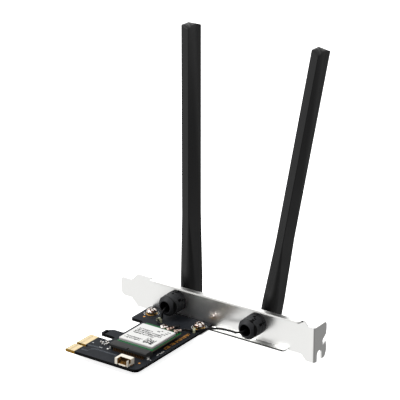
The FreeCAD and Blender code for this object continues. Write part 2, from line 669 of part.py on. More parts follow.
def lead_route(side):
    """Points of a lead from its stem's bore, over the board and through its clip, to its ferrule."""
    centre, along = plug_place(side)
    ferrule_end = centre + Vector(0, 0, FERRULE_LIFT + FERRULE_RADIUS) + along * FERRULE_LENGTH
    low = LEAD_Z
    if side == "left":
        bore = -LEFT_ANTENNA_X
        middle = -MODULE_CENTRE
        free = [
            Vector(bore, -6.2, SOCKET_Z), Vector(bore - 0.4, -12.6, SOCKET_Z - 1.4),
            Vector(bore - 1.4, -11.8, low), Vector(bore - 2.2, -15.2, low), Vector(middle - 5.6, -17.2, low),
            Vector(middle - 2.1, -16.5, low + 0.1), Vector(middle + 0.8, -16.2, low + 0.5),
            Vector(middle + 4.2, -15.8, low + 1.7),
        ]
    else:
        bore = -RIGHT_ANTENNA_X
        edge = -BOARD_SIDE
        free = [
            Vector(bore, -6.2, SOCKET_Z), Vector(bore - 1.3, -11.8, SOCKET_Z - 1.0),
            Vector(bore - 4.3, -12.6, 8.2), Vector(bore - 7.9, -10.0, 6.9), Vector(bore - 12.3, -7.4, 5.4),
            Vector(bore - 17.2, -6.0, 4.4), Vector(edge + 4.8, -6.6, 3.7), Vector(edge + 1.4, -9.0, low + 0.2),
            Vector(edge - 0.9, -12.4, low), Vector(edge - 4.0, -14.2, low), Vector(edge - 4.2, -17.4, low + 1.2),
        ]
    start = Vector(bore, -BORE_FLOOR - RUNNING_GAP, SOCKET_Z)
    return [start] + free + [ferrule_end + along * 2.2, ferrule_end]


def lead(side):
    """A round lead along straight runs joined by tangent arcs, as large as the runs allow."""
    points = lead_route(side)
    edges = []
    radii = []
    start = points[0]
    for before, here, after in zip(points, points[1:], points[2:]):
        arriving = here - before
        leaving = after - here
        reach = 0.45 * min(arriving.Length, leaving.Length)
        arriving.normalize()
        leaving.normalize()
        turn = arriving.getAngle(leaving)
        radius = reach / math.tan(turn / 2)
        radii.append(radius)
        middle = here + (leaving - arriving).normalize() * (radius / math.cos(turn / 2) - radius)
        edges.append(Part.makeLine(start, here - arriving * reach))
        edges.append(Part.Arc(here - arriving * reach, middle, here + leaving * reach).toShape())
        start = here + leaving * reach
    edges.append(Part.makeLine(start, points[-1]))
    path = Part.Wire(edges)
    section = Part.Wire(Part.makeCircle(LEAD_DIAMETER / 2, points[0], points[1] - points[0]))
    solid = path.makePipeShell([section], True, False)
    ideal = math.pi * LEAD_DIAMETER ** 2 / 4 * path.Length
    print(side, "lead: length", round(path.Length, 1), "tightest", round(min(radii), 2),
          "volume against section times length", round(solid.Volume / ideal, 4))
    return solid


def lead_clip(side):
    """A small wire staple over the lead's flat run, soldered to the board by its two feet."""
    flat = [point for point in lead_route(side) if abs(point.z - LEAD_Z) < 1e-6]
    middle = (flat[0] + flat[1]) * 0.5
    along = flat[1] - flat[0]
    inner = LEAD_DIAMETER / 2 + CLIP_GAP
    outer = inner + CLIP_WIRE
    half = CLIP_LENGTH / 2
    foot = outer + CLIP_FOOT
    arch = rod(outer, (0, -half, LEAD_Z), (0, half, LEAD_Z))
    arch = arch.fuse(block((-outer, outer), (-half, half), (BOARD_TOP, LEAD_Z)))
    arch = arch.fuse(block((-foot, foot), (-half, half), (BOARD_TOP, BOARD_TOP + CLIP_WIRE * 0.6)))
    arch = arch.cut(rod(inner, (0, -half, LEAD_Z), (0, half, LEAD_Z)))
    arch = arch.cut(block((-inner, inner), (-half, half), (BOARD_TOP - outer, LEAD_Z)))
    clip = arch.common(block((-foot, foot), (-half, half), (BOARD_TOP, LEAD_Z + outer)))
    clip.rotate(Vector(0, 0, 0), Vector(0, 0, 1), math.degrees(math.atan2(along.y, along.x)) - 90)
    clip.translate(Vector(middle.x, middle.y, 0))
    return clip


def snap_windows(x):
    """Cutters for the lens-shaped windows where a socket meets its nose, one on each side."""
    level = -SOCKET_LENGTH - FACE_GAP / 2
    low = SOCKET_Z - WINDOW_HEIGHT / 2
    cutters = []
    for side in (-1, 1):
        reach = x + side * SOCKET_RADIUS
        cutters.append(rod(WINDOW_RADIUS, (reach, level, low), (reach, level, low + WINDOW_HEIGHT)))
    return Part.makeCompound(cutters)


def turned(profile, x):
    """A solid of revolution round an antenna's bore, from (radius, y) points."""
    points = [Vector(x + radius, y, SOCKET_Z) for radius, y in profile]
    section = Part.Face(Part.makePolygon(points + points[:1]))
    return section.revolve(Vector(x, 0, SOCKET_Z), Vector(0, 1, 0), 360)


def antenna_socket(x):
    """A moulded sleeve: a collar against the bracket, a spring tab on top and slits at its sides."""
    bore = STEM_RADIUS + RUNNING_GAP
    collar = SOCKET_RADIUS + COLLAR_STEP
    front = -SOCKET_LENGTH
    rib = front / 2 - COLLAR_LENGTH / 2
    body = turned([
        (bore, front), (SOCKET_RADIUS - 0.2, front), (SOCKET_RADIUS, front + 0.2),
        (SOCKET_RADIUS, rib - 0.3), (collar - 0.05, rib - 0.15), (collar - 0.05, rib + 0.15),
        (SOCKET_RADIUS, rib + 0.3), (SOCKET_RADIUS, -COLLAR_LENGTH), (collar, -COLLAR_LENGTH + COLLAR_STEP),
        (collar, 0), (SOCKET_SPIGOT, 0), (SOCKET_SPIGOT, SHEET), (bore, SHEET),
    ], x)
    body = body.cut(snap_windows(x))
    deep = SOCKET_Z + bore + 0.5
    high = SOCKET_Z + collar + 1
    tab = block((x - 1.5, x + 1.5), (-2.9, -0.6), (deep, high))
    tongue = block((x - 0.9, x + 0.9), (-2.3, -0.6), (deep, high))
    body = body.cut(tab.cut(tongue))
    body = body.cut(rod(0.35, (x, -1.5, SOCKET_Z + collar - 0.4), (x, -1.5, high)))
    for side in (-1, 1):
        reach = sorted((x + side * (bore + 0.5), x + side * (collar + 1)))
        body = body.cut(block(reach, (-3.6, -0.7), (SOCKET_Z + 1.9, SOCKET_Z + 1.9 + TAB_SLIT)))
        body = body.cut(block(reach, (-2.6, -1.9), (SOCKET_Z + 1.3, SOCKET_Z + 3.4)))
        body = body.cut(block(reach, (-0.7 - TAB_SLIT, -0.7), (SOCKET_Z - 2.6, SOCKET_Z + 1.9)))
    return body


def lock_ring(x):
    """The conical nose pushed over the stem's end, which keeps the stem in its socket."""
    back = -SOCKET_LENGTH - FACE_GAP
    front = -SOCKET_FRONT
    nose = turned([
        (STEM_BORE, front), (NOSE_RADIUS - 0.15, front), (NOSE_RADIUS, front + 0.15),
        (SOCKET_RADIUS, back - 0.25), (SOCKET_RADIUS, back), (STEM_RADIUS, back),
        (STEM_RADIUS, front + NOSE_LIP), (STEM_BORE, front + NOSE_LIP),
    ], x)
    return nose.cut(snap_windows(x))


def knuckle():
    """Stem, disc, neck and hinge tongue in one moulding, drawn round the hinge pin."""
    stem_end = -SOCKET_FRONT + NOSE_LIP - HINGE_Y
    disc_face = SHEET + FACE_GAP - HINGE_Y
    disc_back = disc_face + DISC_THICKNESS
    neck_end = -ROOT_DEPTH / 2 - SLOT_END_GAP
    disc = rod(DISC_RADIUS, (0, disc_face, 0), (0, disc_back, 0))
    rim = [edge for edge in disc.Edges if abs(edge.BoundBox.YMin - disc_back) < 1e-6]
    body = disc.makeFillet(0.6, rim)
    body = body.fuse(rod(NECK_RADIUS, (0, disc_back - 0.2, 0), (0, neck_end, 0)))
    body = body.fuse(rod(STEM_RADIUS, (0, stem_end, 0), (0, disc_face, 0)))
    half = TONGUE_THICKNESS / 2
    tongue = [(neck_end - 0.5, -TONGUE_RADIUS, 0), (TONGUE_RADIUS, -TONGUE_RADIUS, TONGUE_RADIUS),
              (TONGUE_RADIUS, TONGUE_RADIUS, TONGUE_RADIUS), (neck_end - 0.5, TONGUE_RADIUS, 0)]
    body = body.fuse(plate(tongue, "yz", -half, half))
    body = body.cut(rod(STEM_BORE, (0, stem_end, 0), (0, -BORE_FLOOR - HINGE_Y, 0)))
    body = body.cut(rod(PIN_RADIUS + RUNNING_GAP, (-half - 1, 0, 0), (half + 1, 0, 0)))
    return body.removeSplitter()


def hinge_pin():
    reach = ROOT_THICKNESS / 2 - PIN_INSET
    return rod(PIN_RADIUS, (-reach, 0, 0), (reach, 0, 0))


def blade_body():
    """Outer form: a rounded eye round the pin, a flare that thins, and a slim blade with a curved crown."""
    half = ROOT_THICKNESS / 2
    deep = ROOT_DEPTH / 2
    eye = plate([(-deep, -deep, deep), (deep, -deep, deep), (deep, ROOT_TOP, 0), (-deep, ROOT_TOP, 0)],
                "yz", -half, half)
    sides = []
    for edge in eye.Edges:
        box = edge.BoundBox
        if box.XLength < 1e-6 and box.ZMin < ROOT_TOP - 1e-3:
            sides.append(edge)
    eye = eye.makeFillet(ROOT_EDGE, sides)

    def section(thickness, depth, edge, level):
        corners = rectangle((-thickness / 2, thickness / 2), (-depth / 2, depth / 2), edge)
        return outline(corners, "xy", level)

    flare = Part.makeLoft([section(ROOT_THICKNESS, ROOT_DEPTH, ROOT_EDGE, ROOT_TOP),
                           section(BLADE_THICKNESS, BLADE_DEPTH, BLADE_EDGE, FLARE_TOP)], True, True)
    slim = Part.Face(section(BLADE_THICKNESS, BLADE_DEPTH, BLADE_EDGE, FLARE_TOP))
    slim = slim.extrude(Vector(0, 0, BLADE_LENGTH + 1 - FLARE_TOP))
    return eye.fuse(flare).fuse(slim.common(crowned_prism()))


def crowned_prism():
    """A wide prism whose top twists from a slope on its left side to an arch on its right side."""
    reach = BLADE_DEPTH / 2
    side = BLADE_THICKNESS / 2 + CROWN_MARGIN
    top = BLADE_LENGTH + CROWN_RISE
    low = BLADE_LENGTH - CROWN_FALL
    middle = top - CROWN_FALL * (CROWN_PEAK + reach) / (2 * reach) + CROWN_SWELL
    slope = [(-reach, FLARE_TOP, 0), (reach, FLARE_TOP, 0), (reach, top - CROWN_FALL, CROWN_CORNER),
             (CROWN_PEAK, middle, CROWN_ARCH), (-reach, top, CROWN_NOSE)]
    arched = [(-reach, FLARE_TOP, 0), (reach, FLARE_TOP, 0), (reach, low, CROWN_CORNER),
              (CROWN_PEAK, top, CROWN_ARCH), (-reach, low, CROWN_CORNER)]
    return Part.makeLoft([outline(slope, "yz", -side), outline(arched, "yz", side)], True, True)


def cover_zone():
    return block((-ROOT_THICKNESS, ROOT_THICKNESS), (BLADE_DEPTH / 2 - COVER_THICKNESS, ROOT_DEPTH),
                 (COVER_FOOT, BLADE_LENGTH + 1))


def blade():
    """The antenna's housing: hollow above the hinge and open at the back, slotted for the tongue."""
    body = blade_body().cut(cover_zone())
    inside = BLADE_THICKNESS / 2 - WALL
    back = BLADE_DEPTH / 2 - COVER_THICKNESS
    body = body.cut(block((-inside, inside), (-BLADE_DEPTH / 2 + WALL, back),
                          (CAVITY_FOOT, BLADE_LENGTH - CAVITY_HEAD)))
    half = TONGUE_THICKNESS / 2 + SLOT_SIDE_GAP
    reach = TONGUE_RADIUS + SLOT_END_GAP
    body = body.cut(block((-half, half), (-ROOT_DEPTH, 0), (-ROOT_DEPTH, reach)))
    body = body.cut(block((-half, half), (-ROOT_DEPTH, reach), (-ROOT_DEPTH, 0)))
    body = body.cut(rod(reach, (-half, 0, 0), (half, 0, 0)))
    return body.cut(rod(PIN_RADIUS, (-ROOT_THICKNESS, 0, 0), (ROOT_THICKNESS, 0, 0))).removeSplitter()


def blade_cover():
    return blade_body().common(cover_zone()).removeSplitter()


def radiator():
    """The antenna's flat element, a slotted strip that fills the housing's depth."""
    half = RADIATOR_THICKNESS / 2
    front = -BLADE_DEPTH / 2 + WALL + RADIATOR_GAP
    back = BLADE_DEPTH / 2 - COVER_THICKNESS - RADIATOR_GAP
    foot = CAVITY_FOOT + RADIATOR_GAP
    middle = (front + back) / 2
    strip = plate(rectangle((front, back), (foot, foot + RADIATOR_LENGTH), 0.4), "yz", -half, half)
    feed = foot + RADIATOR_LENGTH * 0.48
    strip = strip.cut(plate(rectangle((front - 1, middle), (feed, feed + 1.2), 0), "yz", -half, half))
    for low, high in ((foot + 4, feed - 3), (feed + 4.2, foot + RADIATOR_LENGTH - 4)):
        strip = strip.cut(plate(rectangle((middle + 0.6, middle + 1.6), (low, high), 0.4), "yz", -half, half))
    return strip


def place_antenna(shape, x, lean):
    shape.translate(Vector(x, HINGE_Y, SOCKET_Z))
    shape.rotate(Vector(x, HINGE_Y, SOCKET_Z), Vector(0, 1, 0), lean)
    return shape


# Small parts as (x, y, turned), measured from the board's plain side and from the edge socket
SOCKET_SIDE = -MODULE_CENTRE - EDGE_SOCKET_WIDTH / 2
RESISTORS = [(-BOARD_SIDE - 1.6, -45.4, True), (-BOARD_SIDE - 1.2, -42.6, True)]
CAPACITORS = [(SOCKET_SIDE - 7.8, -50.6, False), (SOCKET_SIDE - 6.2, -48.6, True), (SOCKET_SIDE - 4.4, -50.2, True)]

PIECES = {
    "bracket": bracket,
    "circuit_board": circuit_board,
    "edge_contacts": edge_contacts,
    "bracket_screws": bracket_screws,
    "screw_pads": screw_pads,
    "module_board": module_board,
    "module_contacts": module_contacts,
    "module_shield": module_shield,
    "module_label": module_label,
    "radio_chip": radio_chip,
    "module_standoff": module_standoff,
    "module_screw": module_screw,
    "module_socket": module_socket,
    "module_socket_pins": module_socket_pins,
    "module_socket_tabs": module_socket_tabs,
    "header_housing": header_housing,
    "header_pins": header_pins,
    "resistors": lambda: chip_parts(RESISTORS, 1.6, 0.8, 0.45),
    "capacitors": lambda: chip_parts(CAPACITORS, 1.6, 0.8, 0.8),
    "antenna_receptacles": antenna_receptacles,
    "left_lead_plug": lambda: lead_plug("left"),
    "right_lead_plug": lambda: lead_plug("right"),
    "left_lead": lambda: lead("left"),
    "right_lead": lambda: lead("right"),
    "left_lead_clip": lambda: lead_clip("left"),
    "right_lead_clip": lambda: lead_clip("right"),
}
for side_name, place_x, lean_angle in (("left", -LEFT_ANTENNA_X, 0.0), ("right", -RIGHT_ANTENNA_X, RIGHT_LEAN)):
    PIECES[side_name + "_socket"] = lambda x=place_x: antenna_socket(x)
    PIECES[side_name + "_lock_ring"] = lambda x=place_x: lock_ring(x)
    for piece_name, make in (("knuckle", knuckle), ("hinge_pin", hinge_pin), ("blade", blade),
                             ("blade_cover", blade_cover), ("radiator", radiator)):
        PIECES[side_name + "_" + piece_name] = (
            lambda make=make, x=place_x, lean=lean_angle: place_antenna(make(), x, lean))

os.makedirs("parts", exist_ok=True)
for node, build in PIECES.items():
    solid = build()
    solid.translate(-SEAT)
    solid.exportStep(os.path.join("parts", node + ".step"))
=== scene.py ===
import math
import random

import bmesh
import bpy
from mathutils import Matrix, Vector


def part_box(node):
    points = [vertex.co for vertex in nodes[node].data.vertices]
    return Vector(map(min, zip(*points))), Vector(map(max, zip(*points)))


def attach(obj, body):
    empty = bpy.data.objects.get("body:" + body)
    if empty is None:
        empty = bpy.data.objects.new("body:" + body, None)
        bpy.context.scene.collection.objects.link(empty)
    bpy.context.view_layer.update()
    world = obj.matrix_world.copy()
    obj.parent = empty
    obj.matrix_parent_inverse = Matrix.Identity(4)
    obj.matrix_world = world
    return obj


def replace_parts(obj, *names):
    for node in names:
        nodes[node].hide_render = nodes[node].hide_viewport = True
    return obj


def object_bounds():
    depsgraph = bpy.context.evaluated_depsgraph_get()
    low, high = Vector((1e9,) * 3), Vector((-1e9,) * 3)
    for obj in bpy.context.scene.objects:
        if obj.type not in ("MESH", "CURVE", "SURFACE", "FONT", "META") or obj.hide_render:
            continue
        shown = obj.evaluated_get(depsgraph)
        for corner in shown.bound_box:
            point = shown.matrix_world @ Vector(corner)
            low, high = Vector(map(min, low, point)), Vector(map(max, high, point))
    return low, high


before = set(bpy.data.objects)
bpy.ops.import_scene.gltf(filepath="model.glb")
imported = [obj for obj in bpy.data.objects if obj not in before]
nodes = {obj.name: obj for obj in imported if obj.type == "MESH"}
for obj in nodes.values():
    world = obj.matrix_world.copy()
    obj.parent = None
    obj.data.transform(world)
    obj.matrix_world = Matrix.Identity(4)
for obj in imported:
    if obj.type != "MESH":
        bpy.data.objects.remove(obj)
cad_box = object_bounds()
bpy.context.scene.view_settings.view_transform = "Standard"
dice = random.Random(7)

MM = 0.001
# Closer than this in millimetres, two points are the same
SAME = 0.001
SIDES = ("left", "right")

# ---- The camera, in the frame's millimetres and degrees

VIEW_AZIMUTH = 34.784
VIEW_ELEVATION = 21.122
VIEW_DISTANCE = 961.9
VIEW_TARGET = Vector((-76.98, 7.76, 53.74))
LENS = 169.04
SENSOR = 36.0
CLIP_START = 0.01
CLIP_END = 20.0


def direction(azimuth, elevation):
    """The way from the part to a viewer at that azimuth and elevation in degrees."""
    turn, rise = math.radians(azimuth), math.radians(elevation)
    return Vector((math.sin(turn) * math.cos(rise), -math.cos(turn) * math.cos(rise), math.sin(rise)))


def place_looking(name, data, centre, back, distance):
    """A camera or light at that distance from a centre, looking at it against the way back."""
    thing = bpy.data.objects.new(name, data)
    bpy.context.scene.collection.objects.link(thing)
    thing.location = centre + back * distance
    thing.rotation_mode = "QUATERNION"
    thing.rotation_quaternion = (-back).to_track_quat("-Z", "Y")
    return thing


def make_camera():
    """The camera that the photo was taken with, as its measured points say."""
    data = bpy.data.cameras.new("camera")
    data.lens = LENS
    data.sensor_width = SENSOR
    data.clip_start = CLIP_START
    data.clip_end = CLIP_END
    bpy.context.scene.camera = place_looking("camera", data, VIEW_TARGET * MM,
                                             direction(VIEW_AZIMUTH, VIEW_ELEVATION), VIEW_DISTANCE * MM)


# ---- Places and sizes, in the frame's millimetres

def corners(name):
    """A node's lowest and highest corner at rest."""
    return [Vector(corner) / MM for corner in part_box(name)]


# The card's own boards
BOARD_LOW, BOARD_HIGH = corners("circuit_board")
BOARD_TOP = BOARD_HIGH.z
CONTACTS_LOW, CONTACTS_HIGH = corners("edge_contacts")
SCREWS_LOW, SCREWS_HIGH = corners("bracket_screws")

# Tracks under the mask, each route laid three times side by side, and rows of vias as x, start and stop
TRACK_ROUTES = (
    ((-97.2, -66.7), (-93.8, -66.6), (-93.2, -63.9), (-91.4, -62.7), (-78.2, -62.6)),
    ((-97.6, -61.1), (-95.6, -60.9), (-93.4, -60.5), (-90.6, -60.6)),
)
TRACK_SHIFTS = (-0.45, 0.0, 0.45)
TRACK_WIDTH = 0.36
TRACK_HEIGHT = 0.05
VIA_ROWS = ((-98.05, -13.0, -21.0), (-59.8, -8.0, -66.0))
VIA_PITCH = 1.5
VIA_RADIUS = 0.22
VIA_HEIGHT = 0.02
VIA_STEPS = 12

# White legend: strokes as x, y, length and depth, and arcs beside each screw pad
LEGEND_HEIGHT = 0.02
LEGEND_STROKES = (
    (-97.4, -57.8, 0.8, 0.45), (-91.3, -60.0, 1.9, 0.3), (-61.9, -51.8, 0.3, 1.1), (-61.7, -49.5, 0.3, 1.1),
    (-62.0, -57.6, 1.0, 0.4), (-93.2, -54.9, 0.3, 1.2),
)
ARC_FACINGS = (35, 215)
ARC_HALF_ANGLE = 32
ARC_GAP = 0.7
ARC_WIDTH = 0.25
ARC_STEPS = 14

# Gilded dots, and plain gilded bars in a row towards -Y
GILT_HEIGHT = 0.03
FIDUCIALS = ((-94.5, -17.7), (-63.9, -63.3))
FIDUCIAL_RADIUS = 0.6
BAR_START = -22.0
BAR_LOW = -63.9
BAR_HIGH = -62.1
BAR_MIDDLE = (BAR_LOW + BAR_HIGH) / 2
BAR_SPACING = 0.3
BAR_BLANK = 0.9
BARS = ("hook", "full", "hook", "fork", "full", "hook", "fork", "full", "hook", "fork", "gap", "full", "fork",
        "hook", "gap", "full", "fork", "hook", "full")
# Each kind as the bar's depth, how far its prongs reach, and where each prong starts and how wide it is
BAR_SHAPES = {
    "full": (0.42, 0.42, ()),
    "fork": (0.35, 1.15, ((BAR_LOW, 0.36), (BAR_MIDDLE - 0.18, 0.36), (BAR_HIGH - 0.36, 0.36))),
    "hook": (0.35, 1.05, ((BAR_LOW, 0.4),)),
}

# The label's print: rows as the top of the bars, where they start and stop and their height, and a square
# of cells by its lowest corner
LABEL_ROWS = (
    (-35.2, -72.8, -71.2, 1.1), (-34.0, -67.7, -65.7, 0.6), (-35.6, -67.9, -66.0, 0.8),
    (-37.1, -82.6, -74.6, 1.05), (-38.7, -82.9, -67.6, 1.2), (-40.4, -82.9, -67.0, 1.2),
    (-42.2, -82.8, -70.2, 1.1), (-37.2, -69.2, -66.7, 0.9), (-47.3, -83.2, -73.4, 1.1),
    (-49.1, -83.2, -74.0, 1.1),
)
LABEL_LENGTHS = (0.4, 0.6, 0.9)
LABEL_DROPS = (0.0, 0.0, 0.35)
LABEL_GAPS = (0.15, 0.25, 0.4)
LABEL_SQUARE = (-72.1, -50.4)
LABEL_SQUARE_SIZE = 5.8
LABEL_CELLS = 11
LABEL_SHARE = 0.6
LABEL_DOT = (-70.7, -34.5)
LABEL_DOT_RADIUS = 0.45
INK_HEIGHT = 0.012

# The outermost part of the contact tongues, of the contacts on them and of the hook
TIP_REACH = 1.2
TIP_END = BOARD_LOW.x - TIP_REACH
TIP_LENGTH = 2.6
TIP_BEVEL = 0.5
TONGUES = ((-70.74, -63.5), (-61.6, -50.95))
CONTACT_ROWS = ((-70.45, 7), (-61.3, 11))
CONTACT_PITCH = 1.0
CONTACT_WIDTH = 0.7
CONTACT_LENGTH = 3.0
CONTACT_PLATE = 0.05
CONTACT_PROUD = 0.03
HOOK_EDGE = -99.74
HOOK_END = HOOK_EDGE - TIP_REACH
HOOK_FRONT = -46.25
HOOK_WIDTH = 5.0
HOOK_CORNER = 1.0
HOOK_STEPS = 6

# How far each antenna leans, and how far its crown is drawn up, evenly and at its outer front corner
CROWNS = (("left", 0.0, 0.0, 1.1), ("right", 10.2, 1.7, 1.7))
# The rise begins at the reach below the crown's end and is full after the ramp. The corner's share falls off
# over its own ramp, is gone at the fall behind the crown's front, and stays at the back's value from there.
CROWN_REACH = 6.0
CROWN_RAMP = 4.0
CROWN_FALL = 8.5
CROWN_FALL_RAMP = 4.0
CROWN_BACK = -0.4
CROWN_SHARP = 30
CROWN_LIMIT = cad_box[1][2] / MM - 0.01
BLADE_THICKNESS = 4.4

# The small parts beside the hook as two corners, a height and the radius of their edges
COUPLING_BODY = ((-91.5, -57.3), (-90.3, -56.3), 0.8, 0.08)
COUPLING_ENDS = (
    ((-91.85, -57.4), (-91.4, -56.2), 0.85, 0.1),
    ((-90.4, -57.4), (-89.95, -56.2), 0.85, 0.1),
    ((-86.6, -60.2), (-85.6, -59.3), 0.5, 0.15),
)

# Tinned caps: how far they stand out past an end, how much they cover, how much wider and rounder they are
CAP_OUT = 0.12
CAP_COVER = 0.38
CAP_GROWTH = Vector((0.04, 0.04, 0.03))
CAP_ROUND = 0.05

# The side entry header
HEADER_LOW, HEADER_HIGH = corners("header_housing")
HEADER_FRONT = HEADER_LOW.y - 0.35
HEADER_INNER_LEFT = HEADER_LOW.x + 0.7
HEADER_INNER_RIGHT = HEADER_HIGH.x - 0.5
HEADER_SLOT_START = HEADER_FRONT + 1.3
HEADER_SLOT_STOP = HEADER_HIGH.y - 2.8
HEADER_ROUND = 0.12
HEADER_LAP = 0.1
HEADER_LAP_LEFT = HEADER_INNER_LEFT - HEADER_LAP
HEADER_LAP_RIGHT = HEADER_INNER_RIGHT + HEADER_LAP
# The thick left wall, the right wall in front of, under and behind its slot, the roof, the back, the floor
# and the low front lip
HEADER_BLOCKS = (
    ((HEADER_LOW.x - 0.8, HEADER_FRONT, HEADER_LOW.z), (HEADER_INNER_LEFT, HEADER_HIGH.y, HEADER_HIGH.z)),
    ((HEADER_INNER_RIGHT, HEADER_FRONT, HEADER_LOW.z), (HEADER_HIGH.x, HEADER_SLOT_START, HEADER_HIGH.z)),
    ((HEADER_INNER_RIGHT, HEADER_SLOT_START, HEADER_LOW.z), (HEADER_HIGH.x, HEADER_SLOT_STOP, HEADER_LOW.z + 1.1)),
    ((HEADER_INNER_RIGHT, HEADER_SLOT_STOP, HEADER_LOW.z), HEADER_HIGH),
    ((HEADER_LAP_LEFT, HEADER_HIGH.y - 2.6, HEADER_HIGH.z - 0.6), (HEADER_LAP_RIGHT, HEADER_HIGH.y, HEADER_HIGH.z)),
    ((HEADER_LAP_LEFT, HEADER_HIGH.y - 0.7, HEADER_LOW.z), (HEADER_LAP_RIGHT, HEADER_HIGH.y, HEADER_HIGH.z - 0.5)),
    ((HEADER_LAP_LEFT, HEADER_FRONT + 0.5, HEADER_LOW.z),
     (HEADER_LAP_RIGHT, HEADER_HIGH.y - 0.6, HEADER_LOW.z + 0.5)),
    ((HEADER_INNER_LEFT + 0.8, HEADER_FRONT, HEADER_LOW.z),
     (HEADER_INNER_RIGHT - 0.8, HEADER_FRONT + 0.6, HEADER_LOW.z + 0.7)),
)

# The sockets: their middles, their seam, and the radii inside which a sleeve and a nose are painted near black as
# shade
SOCKETS = {side: sum(corners(side + "_socket"), Vector()) / 2 for side in SIDES}
SOCKET_MIDDLE = (SOCKETS["left"].x + SOCKETS["right"].x) / 2
SOCKET_HALF = (SOCKETS["right"].x - SOCKETS["left"].x) / 2
SOCKET_SEAM = corners("left_socket")[0].y
SEAM_SHADE_HALF = 0.3
SOCKET_RADIUS = 5.4
SLEEVE_SHADE_RADIUS = SOCKET_RADIUS - 0.2
NOSE_SHADE_RADIUS = 3.0
SLOT_THICKNESS = 0.12
SLOT_SINK = 0.03
SLOT_ROUND = 0.03
# Relief slots, each drawn as a near-black block of painted shade, as the angle round the socket from +X, the place
# along Y, the length along Y and the width
SLOTS = {
    "left": ((94, -7.7, 0.77, 2.32), (80, -7.7, 0.77, 2.32), (87, -8.9, 1.32, 1.015), (87, -6.5, 1.32, 1.015),
             (30, -8.6, 3.3, 1.305), (38, -7.0, 1.1, 2.9), (24, -6.0, 1.1, 2.32)),
    "right": ((92, -6.2, 1.21, 1.595), (80, -8.4, 1.98, 1.45), (73, -7.0, 2.42, 1.305), (65, -11.2, 3.08, 1.305),
              (63, -13.6, 1.32, 1.74), (22, -8.6, 3.3, 1.305), (28, -6.4, 1.32, 2.755), (20, -4.9, 1.76, 1.16)),
}

# Zones within a material, as two corners: the lower lip's cut edge, painted in shade, the upper lip's matt cut edge
# and its bend, painted with a grey reflection, the bare contact edge and its bevel, the foot of the screws' heads,
# painted with a gold reflection of the pads, and the inside of the header, painted in brown shade
LOWER_LIP_PAINTED_SHADE = (Vector((-63.0, -8.1, -9.5)), Vector((-14.0, -7.8, -8.0)))
UPPER_LIP_EDGE = (Vector((-95.4, -8.1, 8.2)), Vector((-6.0, -7.8, 9.3)))
UPPER_LIP_PAINTED_REFLECTION = (Vector((-95.4, -4.9, 8.2)), Vector((-6.0, -3.7, 9.5)))
CONTACT_EDGE = (CONTACTS_LOW - Vector((2, 2, 2)), CONTACTS_HIGH + Vector((0.1, 1.2, 2)))
BEVEL = (CONTACTS_LOW - Vector((3, 1, 1)),
         Vector((CONTACTS_LOW.x - TIP_REACH + 1.0, CONTACTS_HIGH.y + 1, CONTACTS_HIGH.z + 1)))
PAD_REFLECTION_FOOT = (Vector((SCREWS_LOW.x - 1, SCREWS_LOW.y - 1, BOARD_TOP)),
         Vector((SCREWS_HIGH.x + 1, SCREWS_HIGH.y + 1, BOARD_TOP + 0.9)))
HEADER_CAVITY_SHADE = (Vector((HEADER_INNER_LEFT - 0.05, HEADER_FRONT + 0.35, HEADER_LOW.z + 0.45)),
                 Vector((HEADER_HIGH.x - 0.1, HEADER_HIGH.y - 0.5, HEADER_HIGH.z - 0.25)))

# ---- Materials

# Where most of a noise texture's values lie
NOISE_LOW = 0.3
NOISE_HIGH = 0.7
GRAIN_DETAIL = 3.0
# A colour Mix node takes its colours at inputs 6 and 7, and gives the mixed one here
COLOUR_MIX = {"data_type": "RGBA"}
MIXED = 2


def linear(hex_colour):
    """An sRGB hex colour as the linear colour that a shader takes."""
    channels = [int(hex_colour[i:i + 2], 16) / 255 for i in (1, 3, 5)]
    return [c / 12.92 if c <= 0.04045 else ((c + 0.055) / 1.055) ** 2.4 for c in channels] + [1.0]


def add_node(tree, kind, settings=None, **links):
    """A node of that kind with its settings, its values and its links from other nodes' sockets."""
    node = tree.nodes.new("ShaderNode" + kind)
    for key, value in (settings or {}).items():
        setattr(node, key, value)
    for key, value in links.items():
        name = key.replace("_", " ")
        socket = node.inputs[int(key[1:])] if key[0] == "i" and key[1:].isdigit() else node.inputs[name]
        if isinstance(value, bpy.types.NodeSocket):
            tree.links.new(value, socket)
        else:
            socket.default_value = value
    return node


def new_material(name, colour, roughness, metallic=0.0, **values):
    """A material with one Principled shader, whose even values sit on its own sockets."""
    material = bpy.data.materials.new(name)
    material.use_nodes = True
    tree = material.node_tree
    shader = tree.nodes["Principled BSDF"]
    shader.inputs["Base Color"].default_value = linear(colour)
    shader.inputs["Roughness"].default_value = roughness
    shader.inputs["Metallic"].default_value = metallic
    for key, value in values.items():
        shader.inputs[key.replace("_", " ")].default_value = value
    return material, tree, shader


def object_millimetres(tree):
    """Object coordinates in millimetres, so that every pattern's scale is per millimetre."""
    place = add_node(tree, "TexCoord").outputs["Object"]
    return add_node(tree, "VectorMath", {"operation": "SCALE"}, i0=place, Scale=1 / MM).outputs["Vector"]


def grain(tree, shader, place, size, depth):
    """Fine relief of that grain size and depth in millimetres."""
    noise = add_node(tree, "TexNoise", i0=place, Scale=1 / size, Detail=GRAIN_DETAIL)
    bump = add_node(tree, "Bump", Strength=1.0, Distance=depth * MM, Height=noise.outputs["Fac"])
    tree.links.new(bump.outputs["Normal"], shader.inputs["Normal"])


def drawn_grain(tree, shader, place, stretch, size, depth):
    """Grain that is drawn out along an axis, where its stretch is below one."""
    stretched = add_node(tree, "Mapping", Vector=place, Scale=stretch)
    grain(tree, shader, stretched.outputs["Vector"], size, depth)


def vary_roughness(tree, shader, place, size, low, high):
    """Roughness that drifts between two values over patches of that size, as handling leaves it."""
    noise = add_node(tree, "TexNoise", i0=place, Scale=1 / size, Detail=2.0)
    spread = add_node(tree, "MapRange", Value=noise.outputs["Fac"], From_Min=NOISE_LOW, From_Max=NOISE_HIGH,
                      To_Min=low, To_Max=high)
    tree.links.new(spread.outputs["Result"], shader.inputs["Roughness"])
    return spread.outputs["Result"]


